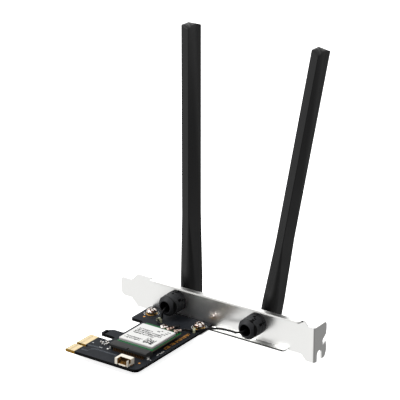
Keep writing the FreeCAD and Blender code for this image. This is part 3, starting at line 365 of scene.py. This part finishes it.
def patches(tree, place, first, second, scale, detail, start=0.0, stop=1.0):
    """A colour that drifts between two over patches, and blends where the noise is between start and stop."""
    noise = add_node(tree, "TexNoise", i0=place, Scale=scale, Detail=detail)
    ramp = add_node(tree, "ValToRGB", Fac=noise.outputs["Fac"])
    for element, position, colour in zip(ramp.color_ramp.elements, (start, stop), (first, second)):
        element.position = position
        element.color = linear(colour)
    return ramp.outputs["Color"]


def within(tree, place, zone):
    """1 inside a box between two corners in millimetres, and 0 outside it."""
    axes = add_node(tree, "SeparateXYZ", Vector=place)
    inside = 1.0
    for axis, start, stop in zip("XYZ", *zone):
        near = add_node(tree, "Math", {"operation": "COMPARE"}, i0=axes.outputs[axis], i1=(start + stop) / 2,
                        i2=(stop - start) / 2)
        inside = add_node(tree, "Math", {"operation": "MULTIPLY"}, i0=near.outputs["Value"],
                          i1=inside).outputs["Value"]
    return inside


def edgeways(tree):
    """1 on faces that stand upright, such as a board's cut edges, and 0 on its flat faces."""
    facing = add_node(tree, "SeparateXYZ", Vector=add_node(tree, "TexCoord").outputs["Normal"])
    flat = add_node(tree, "Math", {"operation": "ABSOLUTE"}, i0=facing.outputs["Z"])
    return add_node(tree, "Math", {"operation": "LESS_THAN"}, i0=flat.outputs["Value"], i1=0.5).outputs["Value"]


def nickel_plated_steel():
    """Sheet steel, bent and nickel plated: a soft mirror, matt on the upper lip's cut edge, with painted shade on
    the lower lip's cut edge and a painted grey reflection on the upper lip's bend.
    """
    tint = "#f4f4f2"
    material, tree, shader = new_material("nickel plated steel", tint, 0.3, metallic=1.0)
    place = object_millimetres(tree)
    # Painted shade: the lower lip's upright cut edge is painted dark grey
    lower_lip_shade = add_node(tree, "Math", {"operation": "MULTIPLY"}, i0=within(tree, place, LOWER_LIP_PAINTED_SHADE),
                       i1=edgeways(tree))
    colour = add_node(tree, "Mix", COLOUR_MIX, i0=lower_lip_shade.outputs["Value"], i6=linear(tint), i7=linear("#4a4a48"))
    # Painted reflection: the upper lip's bend is painted grey, for the grey it reflects
    colour = add_node(tree, "Mix", COLOUR_MIX, i0=within(tree, place, UPPER_LIP_PAINTED_REFLECTION), i6=colour.outputs[MIXED],
                      i7=linear("#7a7a78"))
    tree.links.new(colour.outputs[MIXED], shader.inputs["Base Color"])
    drawn_grain(tree, shader, place, stretch=(0.25, 1.0, 1.0), size=0.35, depth=0.0002)
    soft = vary_roughness(tree, shader, place, size=6.0, low=0.28, high=0.32)
    matt = add_node(tree, "Math", {"operation": "MULTIPLY"}, i0=within(tree, place, UPPER_LIP_EDGE), i1=0.75)
    matt = add_node(tree, "Math", {"operation": "MAXIMUM"}, i0=matt.outputs["Value"], i1=soft)
    tree.links.new(matt.outputs["Value"], shader.inputs["Roughness"])
    return material


def black_solder_mask():
    """Matt black mask printed over woven glass laminate; the cut edges are black, the contact edge bare."""
    material, tree, shader = new_material("black solder mask on laminate", "#26292e", 0.55,
                                          Specular_IOR_Level=0.06)
    place = object_millimetres(tree)
    mask = patches(tree, place, "#1b1d21", "#282b30", scale=0.25, detail=4.0)
    upright = edgeways(tree)
    cut = add_node(tree, "Mix", COLOUR_MIX, i0=upright, i6=mask, i7=linear("#070708"))
    glass = add_node(tree, "Mix", COLOUR_MIX, i0=upright, i6=linear("#c4b688"), i7=linear("#8a6824"))
    colour = add_node(tree, "Mix", COLOUR_MIX, i0=within(tree, place, CONTACT_EDGE), i6=cut.outputs[MIXED],
                      i7=glass.outputs[MIXED])
    tree.links.new(colour.outputs[MIXED], shader.inputs["Base Color"])
    weave = add_node(tree, "TexWave", {"wave_type": "BANDS", "bands_direction": "DIAGONAL"}, i0=place,
                     Scale=1.1, Distortion=1.0)
    bump = add_node(tree, "Bump", Strength=0.35, Distance=0.006 * MM, Height=weave.outputs["Fac"])
    tree.links.new(bump.outputs["Normal"], shader.inputs["Normal"])
    return material


def gold_plate():
    """Hard gold over nickel on copper: pale, smooth, drawn with polishing marks, greyer on the bevel."""
    tint = "#dfcba6"
    material, tree, shader = new_material("hard gold plate", tint, 0.28, metallic=1.0)
    place = object_millimetres(tree)
    colour = add_node(tree, "Mix", COLOUR_MIX, i0=within(tree, place, BEVEL), i6=linear(tint), i7=linear("#aab092"))
    tree.links.new(colour.outputs[MIXED], shader.inputs["Base Color"])
    drawn_grain(tree, shader, place, stretch=(0.08, 1.0, 1.0), size=0.12, depth=0.002)
    return material


def plated_screw():
    """Cold headed steel, bright plated: a mirror in noise patches of painted brown shade and near-white painted
    highlight, with a painted gold reflection of the pads at the foot of its head.
    """
    material, tree, shader = new_material("bright plated screw steel", "#e9ddd4", 0.16, metallic=1.0)
    place = object_millimetres(tree)
    # Painted shade and highlight: noise patches from dark brown to near white stand in for the mirror's shaded and
    # lit parts
    tint = patches(tree, place, "#6e4a38", "#fbf5f0", scale=0.9, detail=2.0, start=0.45, stop=0.53)
    # Painted reflection: the foot of the head is painted gold, for the gold pads it reflects
    colour = add_node(tree, "Mix", COLOUR_MIX, i0=within(tree, place, PAD_REFLECTION_FOOT), i6=tint, i7=linear("#f6c878"))
    tree.links.new(colour.outputs[MIXED], shader.inputs["Base Color"])
    grain(tree, shader, place, size=0.6, depth=0.02)
    return material


def green_solder_mask():
    """Saturated green mask on thin laminate, whose cut edges are a dull olive brown."""
    material, tree, shader = new_material("green solder mask", "#005a2d", 0.4, Specular_IOR_Level=0.15)
    place = object_millimetres(tree)
    shade = patches(tree, place, "#004a24", "#006a35", scale=0.5, detail=3.0)
    colour = add_node(tree, "Mix", COLOUR_MIX, i0=edgeways(tree), i6=shade, i7=linear("#5e5a48"))
    tree.links.new(colour.outputs[MIXED], shader.inputs["Base Color"])
    grain(tree, shader, place, size=0.5, depth=0.003)
    return material


def tinned_can():
    """Drawn tin-plated steel: dull, slightly pink grey, with draw marks on its walls."""
    material, tree, shader = new_material("tin plated can steel", "#c2bcbe", 0.5, metallic=0.45)
    drawn_grain(tree, shader, object_millimetres(tree), stretch=(1.0, 1.0, 0.15), size=0.2, depth=0.004)
    return material


def sleeve_nylon(name, colour, shade_radius):
    """Moulded glass filled nylon: matt outside, with near-black painted shade in its windows, in its bore and along
    its parting seam.
    """
    material, tree, shader = new_material(name, colour, 0.5, Specular_IOR_Level=0.2)
    place = object_millimetres(tree)
    axes = add_node(tree, "SeparateXYZ", Vector=place)
    beside = add_node(tree, "Math", {"operation": "SUBTRACT"}, i0=axes.outputs["X"], i1=SOCKET_MIDDLE)
    beside = add_node(tree, "Math", {"operation": "ABSOLUTE"}, i0=beside.outputs["Value"])
    beside = add_node(tree, "Math", {"operation": "SUBTRACT"}, i0=beside.outputs["Value"], i1=SOCKET_HALF)
    above = add_node(tree, "Math", {"operation": "SUBTRACT"}, i0=axes.outputs["Z"], i1=SOCKETS["left"].z)
    across = add_node(tree, "CombineXYZ", X=beside.outputs["Value"], Z=above.outputs["Value"])
    radius = add_node(tree, "VectorMath", {"operation": "LENGTH"}, i0=across.outputs["Vector"])
    # Painted shade: faces near the socket's axis, in the windows and the bore, are painted near black
    inner = add_node(tree, "Math", {"operation": "LESS_THAN"}, i0=radius.outputs["Value"], i1=shade_radius)
    # Painted shade: a band along the parting seam is painted near black
    seam = add_node(tree, "Math", {"operation": "COMPARE"}, i0=axes.outputs["Y"], i1=SOCKET_SEAM, i2=SEAM_SHADE_HALF)
    dark = add_node(tree, "Math", {"operation": "MAXIMUM"}, i0=inner.outputs["Value"], i1=seam.outputs["Value"])
    tint = add_node(tree, "Mix", COLOUR_MIX, i0=dark.outputs["Value"], i6=linear(colour), i7=linear("#050505"))
    tree.links.new(tint.outputs[MIXED], shader.inputs["Base Color"])
    grain(tree, shader, place, size=0.15, depth=0.003)
    vary_roughness(tree, shader, place, size=9.0, low=0.45, high=0.55)
    return material


def ivory_nylon():
    """Moulded ivory nylon: waxy outside, with painted brown shade and warm bounced light inside its deep narrow
    cavity.
    """
    tint = "#e0d9cb"
    material, tree, shader = new_material("ivory nylon", tint, 0.42)
    place = object_millimetres(tree)
    # Painted shade: the cavity's faces are painted in patches of dark and mid brown
    cavity_shade = patches(tree, place, "#4a3a26", "#9a6c2c", scale=0.7, detail=2.0, start=0.4, stop=0.6)
    colour = add_node(tree, "Mix", COLOUR_MIX, i0=within(tree, place, HEADER_CAVITY_SHADE), i6=linear(tint), i7=cavity_shade)
    tree.links.new(colour.outputs[MIXED], shader.inputs["Base Color"])
    grain(tree, shader, place, size=0.12, depth=0.004)
    return material


def rose_gold_plate():
    """Thin gold over copper on the coaxial plugs: pinkish and smooth, with random patches of painted brown shade.
    """
    material, tree, shader = new_material("thin gold over copper", "#dccabf", 0.26, metallic=1.0)
    place = object_millimetres(tree)
    # Painted shade: noise patches of dark brown among the pale pink
    tint = patches(tree, place, "#6b4232", "#d8c4b8", scale=0.9, detail=1.0, start=0.42, stop=0.5)
    tree.links.new(tint, shader.inputs["Base Color"])
    grain(tree, shader, place, size=0.4, depth=0.012)
    return material


def moulded(name, colour, roughness, size, depth, **values):
    """An injection moulded plastic with the tool's spark eroded texture."""
    material, tree, shader = new_material(name, colour, roughness, **values)
    place = object_millimetres(tree)
    grain(tree, shader, place, size, depth)
    vary_roughness(tree, shader, place, size=9.0, low=roughness - 0.05, high=roughness + 0.05)
    return material


def grained(name, colour, roughness, size, depth, metallic=0.0, **values):
    """A finish that is even apart from its fine grain."""
    material, tree, shader = new_material(name, colour, roughness, metallic, **values)
    grain(tree, shader, object_millimetres(tree), size, depth)
    return material


# A moulded or grained finish is given as its name, its colour, its roughness, and the size and depth of its
# grain in millimetres
NICKEL = nickel_plated_steel()
MASK = black_solder_mask()
GOLD = gold_plate()
SCREW = plated_screw()
GREEN = green_solder_mask()
CAN = tinned_can()
IVORY = ivory_nylon()
ROSE = rose_gold_plate()
# The sleeves on the bracket, and the noses that hold the stems in them
SLEEVE = sleeve_nylon("black glass filled nylon", "#323335", SLEEVE_SHADE_RADIUS)
NOSE = sleeve_nylon("black glass filled nylon, nose", "#292a2c", NOSE_SHADE_RADIUS)
# Near-black nylon blocks on the sleeves: painted shade standing in for the shaded insides of their slots
SLOT_SHADE = moulded("black nylon, painted slot shade", "#040404", 0.7, 0.15, 0.003, Specular_IOR_Level=0.05)
# The antennas' housings and their joints
ANTENNA = moulded("black antenna ABS, fine textured", "#0c0c0d", 0.42, 0.12, 0.002, Specular_IOR_Level=0.42)
# The module's edge socket
CONNECTOR = moulded("black liquid crystal polymer", "#2a2a2a", 0.5, 0.1, 0.004, Specular_IOR_Level=0.15)
# Transfer moulded chip bodies
CHIP = moulded("black epoxy chip body", "#1b1b1d", 0.5, 0.08, 0.006)
# The same mask where it lies over copper tracks: smoother and a little paler
TRACK_MASK = grained("black solder mask on copper", "#484c52", 0.45, 0.4, 0.003, Specular_IOR_Level=0.1)
# Matt polyester film, and thermal transfer ribbon ink on it, a soft dark grey
LABEL = grained("white label film", "#d9d9d7", 0.55, 0.15, 0.002, Specular_IOR_Level=0.3)
INK = grained("ribbon ink", "#303134", 0.6, 0.1, 0.002, Specular_IOR_Level=0.2)
# Screen printed ink on the mask
LEGEND = grained("white legend ink", "#cfd1d2", 0.6, 0.1, 0.003)
# Marks etched in the copper and dipped in gold: a deep orange gold, slightly rough
PRINT = grained("etched and gilded copper", "#d9953a", 0.5, 0.2, 0.004, metallic=0.35)
# Ceramic and resin bodies of the small soldered parts
BODY = grained("fired ceramic body", "#5a5046", 0.5, 0.1, 0.004)
# Solder and tinned tabs: bright and slightly lumpy
SOLDER = grained("reflowed solder and tinned brass", "#ecebe8", 0.25, 0.3, 0.01, metallic=0.75)
# Half hard brass wire with a thin tin wash, a little green where the tin has worn
WIRE = grained("tin washed brass wire", "#b9ba9e", 0.32, 0.2, 0.004, metallic=0.7)
# Stamped tails: brown gold between the black walls
TAILS = grained("phosphor bronze", "#6b4f30", 0.4, 0.15, 0.003, metallic=0.8)
# Extruded black fluoropolymer: smooth and slightly waxy
JACKET = grained("extruded jacket", "#09090a", 0.45, 0.5, 0.004, Specular_IOR_Level=0.16)
# The antenna's flat element
COPPER = grained("etched copper", "#c07a4c", 0.35, 0.3, 0.004, metallic=1.0)

FINISH = {
    "bracket": NICKEL, "circuit_board": MASK, "edge_contacts": GOLD, "screw_pads": GOLD,
    "bracket_screws": SCREW, "module_screw": SCREW, "module_standoff": SCREW,
    "module_board": GREEN, "module_contacts": GOLD, "module_shield": CAN, "module_label": LABEL,
    "radio_chip": CHIP, "module_socket": CONNECTOR, "module_socket_pins": TAILS,
    "module_socket_tabs": SOLDER, "header_housing": IVORY, "header_pins": TAILS,
    "resistors": CHIP, "capacitors": BODY, "antenna_receptacles": ROSE,
}
SIDE_FINISH = {
    "lead": JACKET, "lead_plug": ROSE, "lead_clip": WIRE, "radiator": COPPER, "socket": SLEEVE,
    "lock_ring": NOSE, "knuckle": ANTENNA, "hinge_pin": ANTENNA, "blade": ANTENNA, "blade_cover": ANTENNA,
}


def finish_nodes():
    """Each node's material by its name, the same on the left and on the right."""
    finish = dict(FINISH)
    for side in SIDES:
        for part, material in SIDE_FINISH.items():
            finish[side + "_" + part] = material
    for name, material in finish.items():
        mesh = nodes[name].data
        mesh.materials.clear()
        mesh.materials.append(material)


# ---- New pieces, drawn in millimetres

DISC_STEPS = 20
DISC_TAPER = 0.9


def add_piece(name, shape, material, body="card"):
    """A bmesh in millimetres, made into a piece that rides on a body."""
    mesh = bpy.data.meshes.new(name)
    bmesh.ops.transform(shape, matrix=Matrix.Scale(MM, 4), verts=shape.verts)
    bmesh.ops.recalc_face_normals(shape, faces=shape.faces)
    shape.to_mesh(mesh)
    shape.free()
    piece = bpy.data.objects.new(name, mesh)
    bpy.context.scene.collection.objects.link(piece)
    mesh.materials.append(material)
    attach(piece, body)
    return piece


def span_of(edge):
    """How far an edge's ends are apart along each axis."""
    return [abs(start - stop) for start, stop in zip(edge.verts[0].co, edge.verts[1].co)]


def add_cube(shape, place, offset=0.0, segments=2, chosen=None):
    """A unit cube put in place, with its edges bevelled by that offset, or only those that a test chooses."""
    made = bmesh.ops.create_cube(shape, size=1.0, matrix=place)
    if offset:
        edges = dict.fromkeys(edge for vert in made["verts"] for edge in vert.link_edges)
        edges = [edge for edge in edges if chosen is None or chosen(edge)]
        bmesh.ops.bevel(shape, geom=edges, offset=offset, affect="EDGES", segments=segments, profile=0.5,
                        material=-1)


def between(low, high):
    """The place of a unit cube that fills the room between two corners."""
    low, high = Vector(low), Vector(high)
    return Matrix.Translation((low + high) / 2) @ Matrix.Diagonal((*(high - low), 1.0))


def add_block(shape, low, high, round_edge=0.0):
    """A rounded block between two corners."""
    add_cube(shape, between(low, high), round_edge)


def add_disc(shape, centre, radius, height, steps=DISC_STEPS):
    """A low disc that narrows a little to its top."""
    place = Matrix.Translation(Vector(centre) + Vector((0, 0, height / 2)))
    bmesh.ops.create_cone(shape, cap_ends=True, segments=steps, radius1=radius, radius2=radius * DISC_TAPER,
                          depth=height, matrix=place)


def add_arc(shape, centre, inner, outer, facing):
    """A flat arc on the board, that faces one way round its centre."""
    start = math.radians(facing - ARC_HALF_ANGLE)
    place = Matrix.Translation(centre) @ Matrix.Rotation(start, 4, "Z")
    ends = [shape.verts.new(place @ Vector((radius, 0, level)))
            for radius, level in ((inner, 0), (outer, 0), (outer, LEGEND_HEIGHT), (inner, LEGEND_HEIGHT))]
    face = shape.faces.new(ends)
    bmesh.ops.spin(shape, geom=[face], cent=centre, axis=(0, 0, 1), angle=math.radians(2 * ARC_HALF_ANGLE),
                   steps=ARC_STEPS, use_duplicate=False)


def ribbon_mesh(route):
    """A low rounded band along a route on the board's top face."""
    data = bpy.data.curves.new("ribbon", "CURVE")
    data.dimensions = "3D"
    data.bevel_depth = TRACK_WIDTH / 2
    data.bevel_resolution = 1
    spline = data.splines.new("POLY")
    spline.points.add(len(route) - 1)
    for point, (x, y) in zip(spline.points, route):
        point.co = (x, y, 0, 1)
    carrier = bpy.data.objects.new("ribbon", data)
    mesh = bpy.data.meshes.new_from_object(carrier)
    bpy.data.objects.remove(carrier)
    bpy.data.curves.remove(data)
    flatten = Matrix.Diagonal((1, 1, 2 * TRACK_HEIGHT / TRACK_WIDTH, 1))
    mesh.transform(Matrix.Translation((0, 0, BOARD_TOP)) @ flatten)
    return mesh


def board_traces():
    """Copper tracks under the mask, in two groups from the contact edge, and a row of vias at each side."""
    shape = bmesh.new()
    for route in TRACK_ROUTES:
        for shift in TRACK_SHIFTS:
            mesh = ribbon_mesh([(x, y + shift) for x, y in route])
            shape.from_mesh(mesh)
            bpy.data.meshes.remove(mesh)
    for x, y, stop in VIA_ROWS:
        while y > stop:
            add_disc(shape, (x, y, BOARD_TOP), VIA_RADIUS, VIA_HEIGHT, VIA_STEPS)
            y -= VIA_PITCH
    add_piece("board_traces", shape, TRACK_MASK)


def board_legend():
    """White arcs beside the screws and short strokes beside the small parts."""
    shape = bmesh.new()
    low, high = corners("screw_pads")
    reach = (high.y - low.y) / 2
    for x in (low.x + reach, high.x - reach):
        centre = Vector((x, low.y + reach, BOARD_TOP))
        for facing in ARC_FACINGS:
            add_arc(shape, centre, reach + ARC_GAP, reach + ARC_GAP + ARC_WIDTH, facing)
    for x, y, length, depth in LEGEND_STROKES:
        add_block(shape, (x, y, BOARD_TOP), (x + length, y + depth, BOARD_TOP + LEGEND_HEIGHT))
    add_piece("board_legend", shape, LEGEND)


def gold_marks():
    """Fiducial dots, and a row of plain gilded bars along the board's side."""
    shape = bmesh.new()
    for x, y in FIDUCIALS:
        add_disc(shape, (x, y, BOARD_TOP), FIDUCIAL_RADIUS, GILT_HEIGHT)
    top = BOARD_TOP + GILT_HEIGHT
    y = BAR_START
    for kind in BARS:
        if kind == "gap":
            y -= BAR_BLANK
            continue
        depth, reach, prongs = BAR_SHAPES[kind]
        add_block(shape, (BAR_LOW, y - depth, BOARD_TOP), (BAR_HIGH, y, top))
        for x, width in prongs:
            add_block(shape, (x, y - reach, BOARD_TOP), (x + width, y - depth, top))
        y -= reach + BAR_SPACING
    add_piece("gold_marks", shape, PRINT)


def socket_slot_shades():
    """Near-black blocks where relief slots part each socket's snap arms: painted shade for the slots' shaded
    insides.
    """
    for side, centre in SOCKETS.items():
        shape = bmesh.new()
        for angle, y, length, width in SLOTS[side]:
            turned = (Matrix.Translation((centre.x, y, centre.z))
                      @ Matrix.Rotation(math.radians(-angle), 4, "Y")
                      @ Matrix.Translation((SOCKET_RADIUS - SLOT_SINK, 0, 0)))
            add_cube(shape, turned @ Matrix.Diagonal((SLOT_THICKNESS, length, width, 1)), SLOT_ROUND, segments=1)
        add_piece(side + "_socket_slot_shades", shape, SLOT_SHADE)


def header_shell():
    """The side entry header: a short roof, thick side walls, a slot in the right one, and a low front lip."""
    shape = bmesh.new()
    for low, high in HEADER_BLOCKS:
        add_block(shape, low, high, HEADER_ROUND)
    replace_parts(add_piece("header_shell", shape, IVORY), "header_housing")


def add_chip_block(shape, low, high, height, round_edge):
    """A rounded block of that height on the board's top face."""
    add_block(shape, (*low, BOARD_TOP), (*high, BOARD_TOP + height), round_edge)


def coupling_chip():
    """A small black part with tinned ends, beside the others at the board's hook."""
    shape = bmesh.new()
    add_chip_block(shape, *COUPLING_BODY)
    add_piece("coupling_chip", shape, CHIP)
    ends = bmesh.new()
    for end in COUPLING_ENDS:
        add_chip_block(ends, *end)
    add_piece("coupling_chip_ends", ends, SOLDER)


def bevelled_tip(shape, low, high):
    """A flat tongue whose outer end is bevelled at the top and the bottom."""
    def is_outer(edge):
        return all(abs(end.co.x - low[0]) < SAME for end in edge.verts) and span_of(edge)[1] > SAME

    add_cube(shape, between(low, high), TIP_BEVEL, segments=1, chosen=is_outer)


def board_tips():
    """The contact tongues and the hook, each taken a little further out, with a bevelled plug-in edge."""
    shape = bmesh.new()
    for start, stop in TONGUES:
        bevelled_tip(shape, (TIP_END, start, BOARD_LOW.z), (TIP_END + TIP_LENGTH, stop, BOARD_TOP))
    hook = between((HOOK_END, HOOK_FRONT, BOARD_LOW.z), (HOOK_END + TIP_LENGTH, HOOK_FRONT + HOOK_WIDTH, BOARD_TOP))
    add_cube(shape, hook, HOOK_CORNER, HOOK_STEPS, chosen=lambda edge: span_of(edge)[2] > SAME)
    add_piece("board_tips", shape, MASK)
    shape = bmesh.new()
    for start, count in CONTACT_ROWS:
        for number in range(count):
            y = start + number * CONTACT_PITCH
            bevelled_tip(shape, (TIP_END - CONTACT_PROUD, y, BOARD_LOW.z - CONTACT_PLATE),
                         (TIP_END + CONTACT_LENGTH, y + CONTACT_WIDTH, BOARD_TOP + CONTACT_PLATE))
    add_piece("contact_tips", shape, GOLD)


def clamped(value, low=0.0, high=1.0):
    """The value, held between two limits."""
    return min(max(value, low), high)


def soft_crown(side, node, lean, base, lift):
    """A housing with its crown drawn up at its outer front corner, and its moulded faces running smoothly."""
    shape = bmesh.new()
    shape.from_mesh(nodes[node].data)
    bmesh.ops.remove_doubles(shape, verts=shape.verts, dist=SAME * MM)
    bmesh.ops.scale(shape, vec=(1 / MM, 1 / MM, 1 / MM), verts=shape.verts)
    foot = SOCKETS[side]
    angle = math.radians(lean)
    along = Vector((math.sin(angle), 0, math.cos(angle)))
    outward = Vector((-math.cos(angle), 0, math.sin(angle)))
    places = [vert.co / MM - foot for vert in nodes[side + "_blade"].data.vertices]
    end = max(place.dot(along) for place in places)
    front = min(place.y for place in places if place.dot(along) > end - CROWN_REACH)
    for vert in shape.verts:
        place = vert.co - foot
        rise = clamped((place.dot(along) - end + CROWN_REACH) / CROWN_RAMP)
        rise *= rise * (3 - 2 * rise)
        share = clamped(0.5 + place.dot(outward) / BLADE_THICKNESS)
        share *= clamped((CROWN_FALL - (place.y - front)) / CROWN_FALL_RAMP, CROWN_BACK)
        vert.co += along * rise * (base + lift * share)
        vert.co.z = min(vert.co.z, CROWN_LIMIT)
    piece = add_piece(node + "_shell", shape, ANTENNA, side + "_antenna")
    piece.data.shade_smooth()
    piece.data.set_sharp_from_angle(angle=math.radians(CROWN_SHARP))
    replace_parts(piece, node)


def antenna_shells():
    """The housing and its cover on each antenna."""
    for side, lean, base, lift in CROWNS:
        for part in ("blade", "blade_cover"):
            soft_crown(side, side + "_" + part, lean, base, lift)


def separate_groups(shape):
    """The connected groups of vertices in a bmesh, in the order of their first vertices."""
    grouped = set()
    groups = []
    for first in shape.verts:
        if first in grouped:
            continue
        group = {first}
        front = {first}
        while front:
            front = {edge.other_vert(vert) for vert in front for edge in vert.link_edges} - group
            group |= front
        grouped |= group
        groups.append(group)
    return groups


def part_terminals():
    """Tinned end caps and solder on the small soldered parts."""
    shape = bmesh.new()
    for name in ("resistors", "capacitors"):
        copy = bmesh.new()
        copy.from_mesh(nodes[name].data)
        bmesh.ops.remove_doubles(copy, verts=copy.verts, dist=SAME * MM)
        for group in separate_groups(copy):
            low, high = (Vector([pick(vert.co[axis] for vert in group) for axis in range(3)]) / MM
                         for pick in (min, max))
            along = 0 if high.x - low.x > high.y - low.y else 1
            for end, inward in ((low, 1), (high, -1)):
                cap_low, cap_high = low.copy(), high.copy()
                cap_low[along], cap_high[along] = sorted((end[along] - inward * CAP_OUT,
                                                          end[along] + inward * CAP_COVER))
                grown = CAP_GROWTH.copy()
                grown[along] = 0
                add_block(shape, cap_low - Vector((grown.x, grown.y, 0)), cap_high + grown, CAP_ROUND)
        copy.free()
    add_piece("part_terminals", shape, SOLDER)


def label_print():
    """Rows of plain short bars and a square of plain cells, where the label carries its print."""
    top = corners("module_label")[1].z
    shape = bmesh.new()
    for y, x, stop, height in LABEL_ROWS:
        while x < stop:
            length = dice.choice(LABEL_LENGTHS)
            drop = dice.choice(LABEL_DROPS) * height
            add_block(shape, (x, y - height + drop, top), (min(x + length, stop), y, top + INK_HEIGHT))
            x += length + dice.choice(LABEL_GAPS)
    cell = LABEL_SQUARE_SIZE / LABEL_CELLS
    for column in range(LABEL_CELLS):
        for row in range(LABEL_CELLS):
            if dice.random() < LABEL_SHARE:
                corner = Vector((*LABEL_SQUARE, top)) + Vector((column * cell, row * cell, 0))
                add_block(shape, corner, corner + Vector((cell, cell, INK_HEIGHT)))
    add_disc(shape, (*LABEL_DOT, top), LABEL_DOT_RADIUS, INK_HEIGHT)
    add_piece("label_print", shape, INK)


# ---- The studio

FLOOR_REACH = 4.0
FLOOR_GLOW = 0.8
# Soft panels overhead, low in front on the left, low on the right and behind on the left, each as its azimuth,
# its elevation, where it starts to fade and where it ends in degrees, and its glow
DOME_PANELS = (
    (0, 90, 40, 88, 0.76),
    (-40, -15, 25, 80, 0.88),
    (120, -20, 20, 90, 0.22),
    (-145, 24, 8, 44, 1.04),
)
DOME_REST = 0.065


def make_floor():
    """White paper under the part, which only the camera sees, so that the studio's panels light the metal."""
    shape = bmesh.new()
    bmesh.ops.create_grid(shape, x_segments=1, y_segments=1, size=FLOOR_REACH,
                          matrix=Matrix.Translation((0, 0, cad_box[0][2])))
    mesh = bpy.data.meshes.new("floor")
    shape.to_mesh(mesh)
    shape.free()
    floor = bpy.data.objects.new("floor", mesh)
    bpy.context.scene.collection.objects.link(floor)
    material, _, shader = new_material("white paper", "#ffffff", 0.9)
    shader.inputs["Emission Color"].default_value = linear("#ffffff")
    shader.inputs["Emission Strength"].default_value = FLOOR_GLOW
    mesh.materials.append(material)
    floor.visible_diffuse = False
    floor.visible_glossy = False
    floor.visible_shadow = False


def add_light(name, azimuth, elevation, distance, size, power):
    """A square soft light that looks at the part from that direction."""
    data = bpy.data.lights.new(name, "AREA")
    data.size = size
    data.energy = power
    centre = (Vector(cad_box[0]) + Vector(cad_box[1])) / 2
    place_looking(name, data, centre, direction(azimuth, elevation), distance)


def make_dome():
    """Soft light from all round, brighter where a panel faces the part, and white where the camera sees it."""
    world = bpy.data.worlds.new("studio")
    bpy.context.scene.world = world
    world.use_nodes = True
    tree = world.node_tree
    backdrop = tree.nodes["Background"]
    way = add_node(tree, "TexCoord").outputs["Generated"]
    total = DOME_REST
    for azimuth, elevation, inner, outer, glow in DOME_PANELS:
        facing = add_node(tree, "VectorMath", {"operation": "DOT_PRODUCT"}, i0=way,
                          i1=tuple(direction(azimuth, elevation)))
        panel = add_node(tree, "MapRange", {"interpolation_type": "SMOOTHSTEP"}, Value=facing.outputs["Value"],
                         From_Min=math.cos(math.radians(outer)), From_Max=math.cos(math.radians(inner)),
                         To_Min=0.0, To_Max=glow)
        total = add_node(tree, "Math", {"operation": "ADD"}, i0=panel.outputs["Result"],
                         i1=total).outputs["Value"]
    seen = add_node(tree, "LightPath").outputs["Is Camera Ray"]
    total = add_node(tree, "Math", {"operation": "MAXIMUM"}, i0=total, i1=seen).outputs["Value"]
    tree.links.new(total, backdrop.inputs["Strength"])
    backdrop.inputs["Color"].default_value = linear("#ffffff")


make_camera()
finish_nodes()
board_traces()
board_legend()
gold_marks()
part_terminals()
coupling_chip()
board_tips()
antenna_shells()
header_shell()
socket_slot_shades()
label_print()
make_floor()
make_dome()
add_light("key", azimuth=-50, elevation=50, distance=1.1, size=0.45, power=7.2)
